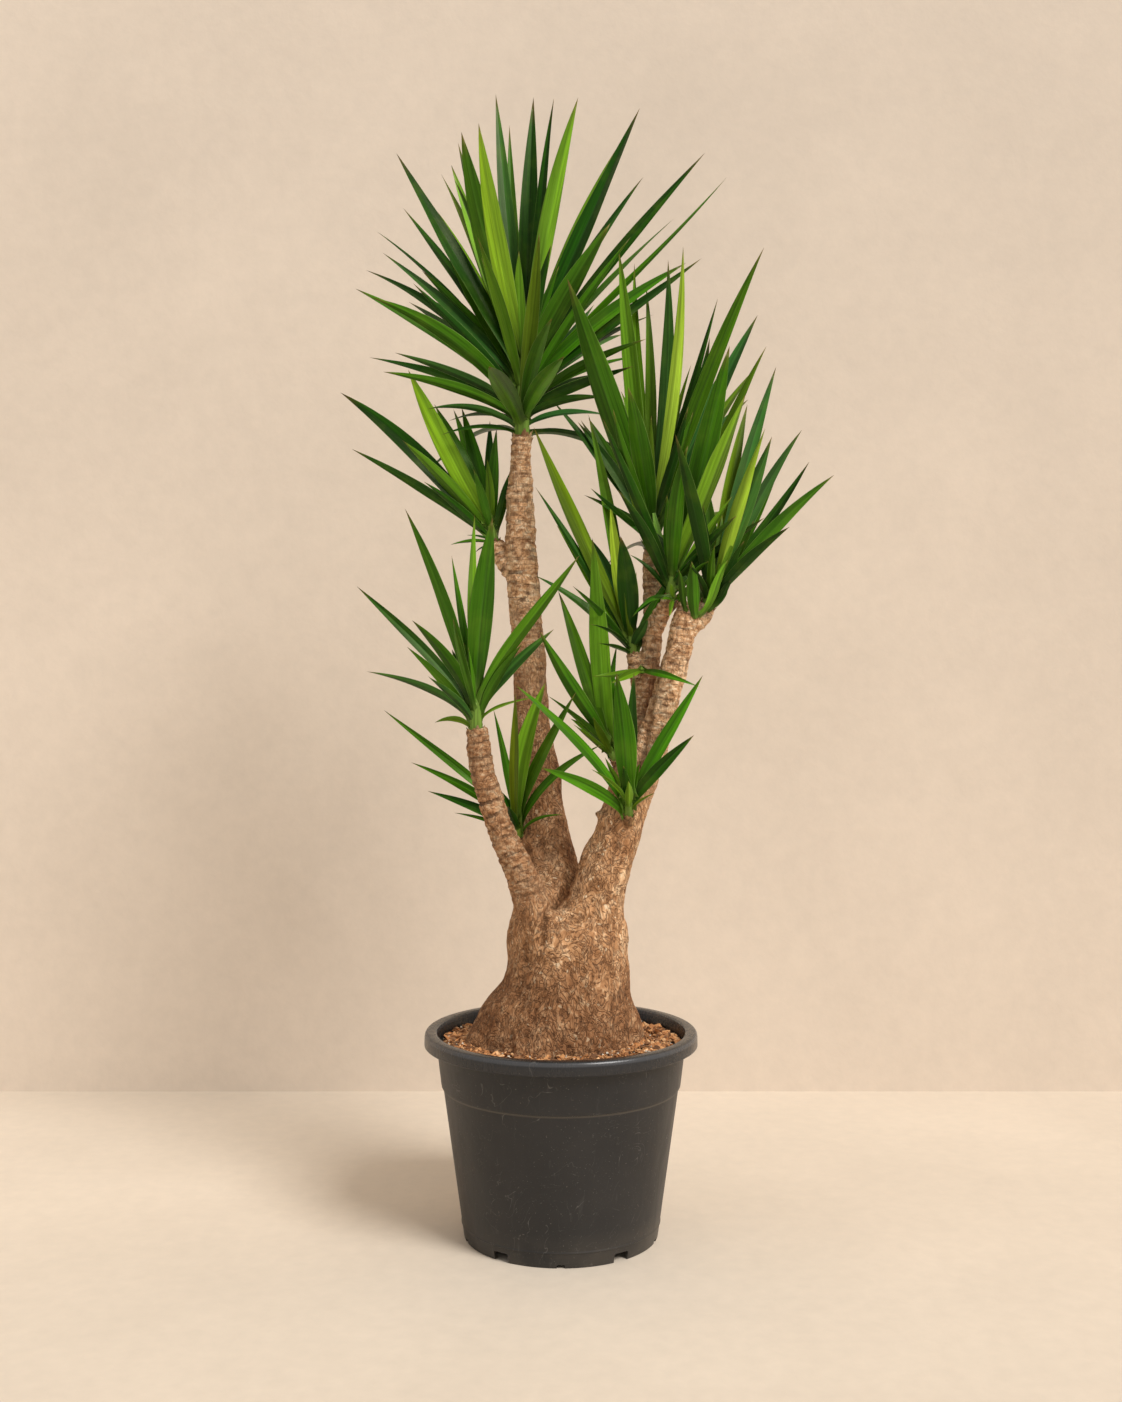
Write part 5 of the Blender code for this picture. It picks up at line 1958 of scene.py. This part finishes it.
CROWNS = (
    Crown(
        "top_crown", (-5.7, 116, 5), (0, 0, 1), (7, 1.2), 5,
        (
            Leaf(-9.5, 166.5, 10, 2.2, Tone.BLUE), Leaf(-7.5, 162, 15, 1.5),
            Leaf(-4, 166, 6, 2.6, Tone.DARK), Leaf(-1, 166, 2, 1.3),
            Leaf(2.5, 166, -2, 2.6, Tone.LIGHT), Leaf(11.5, 164.5, 0, 3.3, Tone.DARK),
            Leaf(12, 154.5, 14, 1.7), Leaf(8, 158.5, 17, 1.5), Leaf(21, 158, 5, 1.8),
            Leaf(16.5, 148.5, 8, 1.3), Leaf(24.2, 154.5, 9, 1, bow=-4), Leaf(20.5, 142.7, 3, 2.2),
            Leaf(13.5, 134.5, 8, 1.7), Leaf(12.5, 131, -6, 1.4), Leaf(11.5, 128.5, 2, 1.3),
            Leaf(10.5, 127, -8, 1.6), Leaf(8, 126, 7, 2, bow=1), Leaf(6.5, 122.5, -4, 1.4, bow=1),
            Leaf(7.5, 119.7, 1, 1.5, bow=1.5), Leaf(-14.5, 161, -4, 3.4, Tone.MID),
            Leaf(-12, 162.3, -9, 2.7, Tone.BRIGHT), Leaf(-15, 159.5, 7, 1.6, Tone.DARK),
            Leaf(-16, 156.3, 3, 2.3, Tone.LIGHT), Leaf(-17.5, 155, 9, 1.8, Tone.OLIVE),
            Leaf(-24, 158, 0, 3, Tone.DARK, 1), Leaf(-23, 150, 8, 1.7), Leaf(-18, 149.5, 13, 0.9),
            Leaf(-27, 146.7, 12, 0.9), Leaf(-26, 143.5, 3, 1.9), Leaf(-28.5, 141, 7, 2),
            Leaf(-30, 138.3, 0, 2), Leaf(-27.5, 137, -14, 2.3, Tone.MID, 2.5),
            Leaf(-24.3, 129, -5, 1.4, bow=0.8), Leaf(-28, 128.3, 4, 1.7, bow=1),
            Leaf(-26, 126.2, -8, 1.7, bow=1), Leaf(-19.5, 120.8, -6, 1.3, bow=1.5),
            Leaf(-16.5, 119, 8, 1.2, bow=1), Leaf(-17.5, 117, -3, 1, bow=1.2),
            Leaf(-18.5, 138.5, 14, 2.2), Leaf(-12.5, 140.8, 18, 1.9),
            Leaf(-10.5, 127, -24, 3, Tone.MID), Leaf(7.2, 147.8, -12, 2.9, Tone.MID, -1),
            Leaf(-1.3, 134, -24, 2, Tone.MID), Leaf(0.5, 128.5, -20, 2.5, Tone.MID),
        ),
        rear_leaves=16, rear_lean=(12, 100), rear_length=38, rear_tucked=(8, 10, 11, 12, 13),
        young_leaves=16, young_length=32,
    ),
    Crown(
        "left_high_crown", (-9.6, 100.8, 7.2), (-0.25, 0, 1), (3.2, 0.8), 2.6,
        (
            Leaf(-32.2, 123.2, 0, 2.7, bow=0.5), Leaf(-30.6, 115, -6, 1.3),
            Leaf(-22.3, 126.5, -4, 2.8, Tone.BRIGHT), Leaf(-18.5, 121.5, 4, 2.6, Tone.MID),
            Leaf(-14.5, 121, 7, 2.1), Leaf(-9.4, 118, 6, 1.8), Leaf(-16.2, 101, -4, 0.7, bow=0.6),
            Leaf(-13.8, 102.4, -3, 0.5), Leaf(-12.6, 99.8, -3, 0.5, bow=0.3),
        ),
        rear_leaves=4, rear_lean=(25, 80), rear_length=24, rear_tucked=(1, 2, 3),
        young_leaves=6, young_length=16,
    ),
    Crown(
        "left_crown", (-12.4, 73.2, -7), (-0.05, 0, 1), (5.2, 1.05), 3,
        (
            Leaf(-22.8, 106.3, -2, 1.8, Tone.MID), Leaf(-16, 99.5, 6, 0.8),
            Leaf(-12.6, 105.5, 7, 1.1, Tone.LIGHT), Leaf(-10, 105, -3, 3.2, Tone.MID),
            Leaf(2.7, 99.5, -5, 1.8, Tone.MID), Leaf(-1, 88.7, 2, 1.7, Tone.BLUE),
            Leaf(-29.9, 95, 3, 1.4, Tone.DARK), Leaf(-21.8, 90, -8, 2, Tone.MID),
            Leaf(-15.8, 90.3, -12, 1), Leaf(-28.5, 82.5, -3, 1.2, Tone.BLUE),
            Leaf(-19.5, 81.8, -9, 1.1, Tone.BLUE), Leaf(-18.5, 75, -3, 1, bow=1.2),
            Leaf(-4, 78.7, 1, 0.8, Tone.OLIVE),
        ),
        leaf_by_leaf=True, young_leaves=6, young_length=15,
    ),
    Crown(
        "low_crown", (-5.9, 58, 3.8), (-0.25, -0.45, 1), (2.9, 0.62), 1.5,
        (
            Leaf(-26, 76.9, 2, 1.1, Tone.MID), Leaf(-22, 69.2, 3, 1.3, Tone.MID),
            Leaf(-19.6, 65, 1, 1.6), Leaf(-15.7, 61.8, 2, 0.7), Leaf(-9.9, 77, -4, 1.1),
            Leaf(-6.7, 79.5, -7, 1.1), Leaf(-2.2, 81, -9, 2.5, Tone.LIGHT),
            Leaf(2.2, 79.5, -9, 1.8, Tone.MID), Leaf(6, 71.8, -10, 1.3),
            Leaf(0.4, 61.5, -9, 0.6, bow=1.2),
        ),
        leaf_by_leaf=True, young_leaves=4, young_length=9,
    ),
    Crown(
        "front_crown", (9.9, 61, -5.5), (0, -0.45, 1), (3.2, 0.72), 2,
        (
            Leaf(-6.9, 80.7, -5, 1.3, Tone.MID), Leaf(-3, 68.4, -4, 1.8, Tone.MID),
            Leaf(4.4, 68.2, -7, 0.8), Leaf(8.1, 82.3, -4, 3, Tone.MID),
            Leaf(20.8, 82, -1, 1.8, Tone.MID), Leaf(19.5, 73.2, -3, 1.8, Tone.DARK),
            Leaf(13.8, 64.7, -4, 0.7), Leaf(10.7, 82.5, 0, 1.7, Tone.DARK),
        ),
        leaf_by_leaf=True, young_leaves=4, young_length=10,
    ),
    Crown(
        "middle_crown", (8, 69.3, 0.2), (-0.45, -0.25, 1), (2.6, 0.62), 1.8,
        (
            Leaf(-0.4, 94.3, 3, 1.9, Tone.MID), Leaf(-3.2, 88.5, -4, 1.9, Tone.MID),
            Leaf(4.6, 102, 0, 3.1, Tone.LIGHT), Leaf(-2, 79, -3, 1.2), Leaf(1.8, 74.8, -3, 0.9),
            Leaf(8.2, 86.5, 3, 1.2),
        ),
        leaf_by_leaf=True, young_leaves=4, young_length=11,
    ),
    Crown(
        "stub_crown", (10.5, 84.7, 2.2), (-0.1, -0.1, 1), (3.2, 0.72), 2.4,
        (
            Leaf(-4, 118.2, -6, 2.2, Tone.OLIVE), Leaf(-3.8, 109.5, -2, 1.3, Tone.DARK),
            Leaf(-4, 96.6, -6, 1.4, Tone.DARK), Leaf(8.7, 102.3, -8, 2.9, Tone.DARK),
            Leaf(7.2, 107.2, -1, 1.9, Tone.YELLOW), Leaf(4, 120, 3, 1.7), Leaf(4.3, 89.4, -5, 0.8),
            Leaf(5.5, 86.6, -3, 0.9, bow=0.5), Leaf(12.7, 90.3, -5, 1.6, Tone.BLUE),
        ),
        rear_leaves=4, rear_lean=(20, 70), rear_length=22, rear_tucked=(3,),
        young_leaves=6, young_length=15,
    ),
    Crown(
        "rear_crown", (13.3, 99.6, 4), (0, 0, 1), (5, 0.95), 4,
        (
            Leaf(0.9, 139.8, -9, 3.8, Tone.MID), Leaf(9.8, 124, -12, 3, Tone.MID),
            Leaf(8.4, 144, -2, 2.4), Leaf(10.7, 142, 6, 1.5, Tone.LIGHT),
            Leaf(12.4, 139, 4, 1.4, Tone.OLIVE), Leaf(15.6, 142.5, 2, 2, Tone.BLUE),
            Leaf(17.8, 144.5, -3, 1.5, Tone.YELLOW), Leaf(22.9, 137, 5, 0.9), Leaf(21.7, 131.2, 8, 1.9),
            Leaf(29.6, 144.3, 0, 2.3), Leaf(28.7, 134.5, 6, 2.8, Tone.BLUE), Leaf(-1.5, 122.3, 2, 1.5),
            Leaf(4, 119.5, 6, 2.2), Leaf(4.3, 109.3, -8, 0.9), Leaf(19, 127.3, 10, 0.9),
            Leaf(11.4, 106.3, -6, 0.6),
        ),
        rear_leaves=10, rear_lean=(15, 95), rear_length=34, rear_tucked=(3, 5, 6, 8),
        young_leaves=12, young_length=28,
    ),
    Crown(
        "fork_crown", (16, 92.7, 0.1), (0.05, -0.1, 1), (3.8, 0.85), 3,
        (
            Leaf(24.6, 130, -3, 3.4, Tone.MID), Leaf(30, 130, 1, 2, Tone.OLIVE),
            Leaf(25.7, 105.3, -9, 1.6, Tone.DARK, 0.5), Leaf(29.8, 105, -6, 1.4, Tone.DARK, 0.5),
            Leaf(10.4, 90.4, -5, 0.9, bow=1.5), Leaf(10, 99.6, -4, 0.9, bow=0.8),
            Leaf(11.5, 102, -3, 0.7), Leaf(21.3, 96.7, -4, 0.6, bow=0.4),
            Leaf(27, 123, -7, 3.3, Tone.LIGHT), Leaf(19.8, 99.8, -5, 0.6),
            Leaf(18.5, 115.5, -13, 2.2, Tone.MID),
        ),
        rear_leaves=2, rear_lean=(15, 50), rear_length=26, young_leaves=7, young_length=19,
        sprouts=(
            ((16.2, 93.4, -1.6), (10.6, 90.7, -5), 1), ((19.7, 90.2, -4.6), (19.1, 98.6, -8), 1.9),
            ((20.1, 90.6, -4.6), (24.4, 98.8, -7), 1.4), ((22.4, 92, -3.8), (24.8, 95.8, -6), 1.1),
            ((16.7, 93, -2.4), (18.2, 94.8, -5), 0.7), ((16.7, 93, -2.4), (18, 92.2, -5), 0.6),
            ((16.6, 92.8, -2.4), (15.8, 90.4, -4.5), 0.7), ((16.5, 93, -2.4), (14.6, 93, -4.5), 0.6),
            ((16.6, 93.2, -2.4), (16, 95.4, -5), 0.7), ((18.4, 91.2, -4.4), (17.2, 97.4, -7.5), 1.1),
            ((21.4, 91.4, -4.2), (26.8, 101.6, -5), 1.5), ((16.8, 94.6, -2), (21.6, 98.6, -6.5), 0.9),
        ),
    ),
    Crown(
        "right_crown", (21.2, 91.6, -2.5), (0.4, -0.05, 1), (3.8, 1), 2.8,
        (
            Leaf(31.4, 127, 3, 1.9, Tone.BLUE, -1.5), Leaf(35.2, 117.8, 6, 1.6, Tone.BLUE, 2.5),
            Leaf(30.8, 116.8, -4, 2.2, Tone.BLUE), Leaf(29.8, 118, -8, 1.8, Tone.YELLOW),
            Leaf(39.9, 111.2, -2, 1.8, Tone.MID), Leaf(36.3, 113.2, 3, 1.3, Tone.DARK, -3),
            Leaf(18.8, 98.2, -6, 1.3), Leaf(27.2, 121.5, 6, 2, Tone.OLIVE), Leaf(22.5, 101, -9, 1.2),
        ),
        rear_leaves=6, rear_lean=(25, 75), rear_length=24, rear_tucked=(2, 5),
        young_leaves=8, young_length=18,
    ),
    Crown(
        "sprig", (11.9, 82.6, 0.7), (-0.15, -1, 0.25), (1, 0.38), 3.6,
        (
            Leaf(4.6, 81.8, -4, 0.9, Tone.OLIVE, 0.5), Leaf(7.4, 80.8, -6, 1.2, Tone.OLIVE),
            Leaf(20.3, 80.2, -7, 1.1, Tone.MID, 5),
        ),
    ),
)


@dataclass
class DryCollars:
    """Dried scales left by old leaves where each shoot leaves its bark."""

    rows: int = 3
    scales: int = 11

    def build(self, crowns: Sequence[Crown]) -> Object:
        """Makes the scales of all the crowns.

        Args:
            crowns: The crowns that get them.

        Returns:
            The piece.
        """
        chance = random.Random("scales")
        shape = Shape()
        for crown in crowns:
            foot, axis = crown.frame()
            radius = crown.shoot[1]
            turned_to = axis.to_track_quat("Z", "X").to_matrix()
            for row in range(self.rows):
                for k in range(self.scales):
                    turn = 2 * pi * (k + 0.5 * row + chance.uniform(-0.3, 0.3)) / self.scales
                    out = turned_to @ Vector((cos(turn), sin(turn), 0.0))
                    self.scale(shape, foot + axis * (0.45 * row - 0.9), axis, out, radius, chance)
        made = shape.piece("dry_collars", ChipFinish().material(), {"chip_colour": Grain.COLOUR})
        return made

    def scale(
        self, shape: Shape, centre: Vector, axis: Vector, out: Vector, radius: float, chance: random.Random
    ) -> None:
        """Adds one scale.

        Args:
            shape: The piece that it goes to.
            centre: Point of the shoot's axis level with its foot.
            axis: Direction of the shoot.
            out: Direction from the axis to the scale.
            radius: The shoot's radius.
            chance: Source of the random numbers.
        """
        side = axis.cross(out).normalized()
        width, height = radius * chance.uniform(0.42, 0.62), radius * chance.uniform(0.7, 1.5)
        flare = chance.uniform(0.05, 0.4) * radius
        points = []
        for share, wide in ((0.0, 1.0), (0.35, 1.0), (0.7, 0.62), (1.0, 0.12)):
            away = radius * 1.06 + flare * share * share
            for u in (-1, 0, 1):
                drop = 0.18 * radius * abs(u) * wide
                for skin in (0.05, 0.0):
                    at = centre + axis * height * share + side * (width * wide * u)
                    points.append(at + out * (away - drop + skin))
        faces = []
        for ring in range(3):
            for i, j in ((0, 2), (2, 4), (5, 3), (3, 1), (4, 5), (1, 0)):
                a, b = ring * 6 + i, ring * 6 + j
                faces.append((a, b, b + 6, a + 6))
        faces += [(0, 1, 3, 2), (2, 3, 5, 4), (18, 20, 21, 19), (20, 22, 23, 21)]
        tone = chance.uniform(0.7, 1.2)
        base = chance.choice((shade(140, 104, 66), shade(116, 82, 50), shade(168, 134, 92)))
        colours = np.tile([v * tone for v in base] + [1.0], (len(points), 1))
        shape.add(np.array(points), faces, [False] * len(faces), chip_colour=colours)


# --- Studio ----------------------------------------------------------------------------------


@dataclass
class Studio:
    """Pale floor and wall, soft lamps and the camera."""

    wall_back: float = 77.5
    floor_paint: Colour = shade(230, 215, 196)
    wall_paint: Colour = shade(226, 210, 192)
    sky: float = 0.5
    sun: float = 2.45
    sun_from: Point = (0.72, -0.72, 0.95)
    sun_width: float = 24.0
    camera_lens: float = 40.0
    camera_dip: float = 0.96

    def plane(self, name: str, corners: Sequence[Point], finish: Material) -> Object:
        """Adds one flat surface of the studio.

        Args:
            name: Name of the object.
            corners: Its corners.
            finish: Its material.

        Returns:
            The object.
        """
        mesh = bpy.data.meshes.new(name)
        mesh.from_pydata([Vector(p) * CM for p in corners], [], [tuple(range(len(corners)))])
        mesh.materials.append(finish)
        made = stood(name, mesh)
        return made

    def one_sided(self, finish: Material) -> Material:
        """Lets a material be seen from the front of its surface only.

        Args:
            finish: The material.

        Returns:
            The same material.
        """
        tree = finish.node_tree
        shader, output = tree.nodes["Principled BSDF"], tree.nodes["Material Output"]
        clear = tree.nodes.new("ShaderNodeBsdfTransparent")
        behind = tree.nodes.new("ShaderNodeNewGeometry")
        mixed = tree.nodes.new("ShaderNodeMixShader")
        tree.links.new(behind.outputs["Backfacing"], mixed.inputs[0])
        tree.links.new(shader.outputs[0], mixed.inputs[1])
        tree.links.new(clear.outputs[0], mixed.inputs[2])
        tree.links.new(mixed.outputs[0], output.inputs["Surface"])
        return finish

    def key_light(self) -> None:
        """Adds the wide, soft main light from the front right."""
        data = bpy.data.lights.new("key_light", "SUN")
        data.angle = radians(self.sun_width)
        data.energy = self.sun
        data.color = (1.0, 0.985, 0.96)
        made = stood("key_light", data)
        made.rotation_euler = Vector(self.sun_from).to_track_quat("Z", "Y").to_euler()

    def camera(self) -> None:
        """Adds the camera, square to the plant's front and a little above its middle."""
        data = bpy.data.cameras.new("camera")
        data.sensor_fit = "VERTICAL"
        data.sensor_height = data.sensor_width = 36.0
        data.lens = self.camera_lens
        made = stood("camera", data)
        made.location = Vector((0, -VIEW_DISTANCE, VIEW_HEIGHT)) * CM
        made.rotation_euler = (radians(90 - self.camera_dip), 0.0, 0.0)
        bpy.context.scene.camera = made

    def build(self) -> None:
        """Sets up the whole studio."""
        far, wide, back = -500.0, 700.0, self.wall_back
        floor = ((-wide, far, 0), (wide, far, 0), (wide, 900.0, 0), (-wide, 900.0, 0))
        wall = ((-wide, back, 0), (-wide, back, 500), (wide, back, 500), (wide, back, 0))
        self.plane("floor", floor, StudioFinish("floor_paint", self.floor_paint).material())
        plaster = self.one_sided(StudioFinish("wall_paint", self.wall_paint).material())
        self.plane("wall", wall[::-1], plaster)
        self.key_light()
        world = bpy.data.worlds.new("studio")
        world.use_nodes = True
        sky = world.node_tree.nodes["Background"]
        sky.inputs["Color"].default_value = (1.0, 0.985, 0.965, 1.0)
        sky.inputs["Strength"].default_value = self.sky
        bpy.context.scene.world = world
        bpy.context.scene.view_settings.view_transform = "Standard"
        self.camera()


def main() -> None:
    """Builds the dressed plant, sub-assembly by sub-assembly."""
    logging.basicConfig(level=logging.INFO, format="%(message)s")
    Studio().build()
    pot = NurseryPot()
    pieces = [pot.build()]
    pieces += Filling(pot).build()
    pieces.append(Trunk().build())
    finish = LeafFinish().material()
    maker = BladeMaker()
    for crown in CROWNS:
        pieces += crown.build(finish, maker)
    pieces.append(DryCollars().build(CROWNS))
    for piece in pieces:
        log.info("%s: %d faces", piece.name, len(piece.data.polygons))


if __name__ == "__main__":
    main()
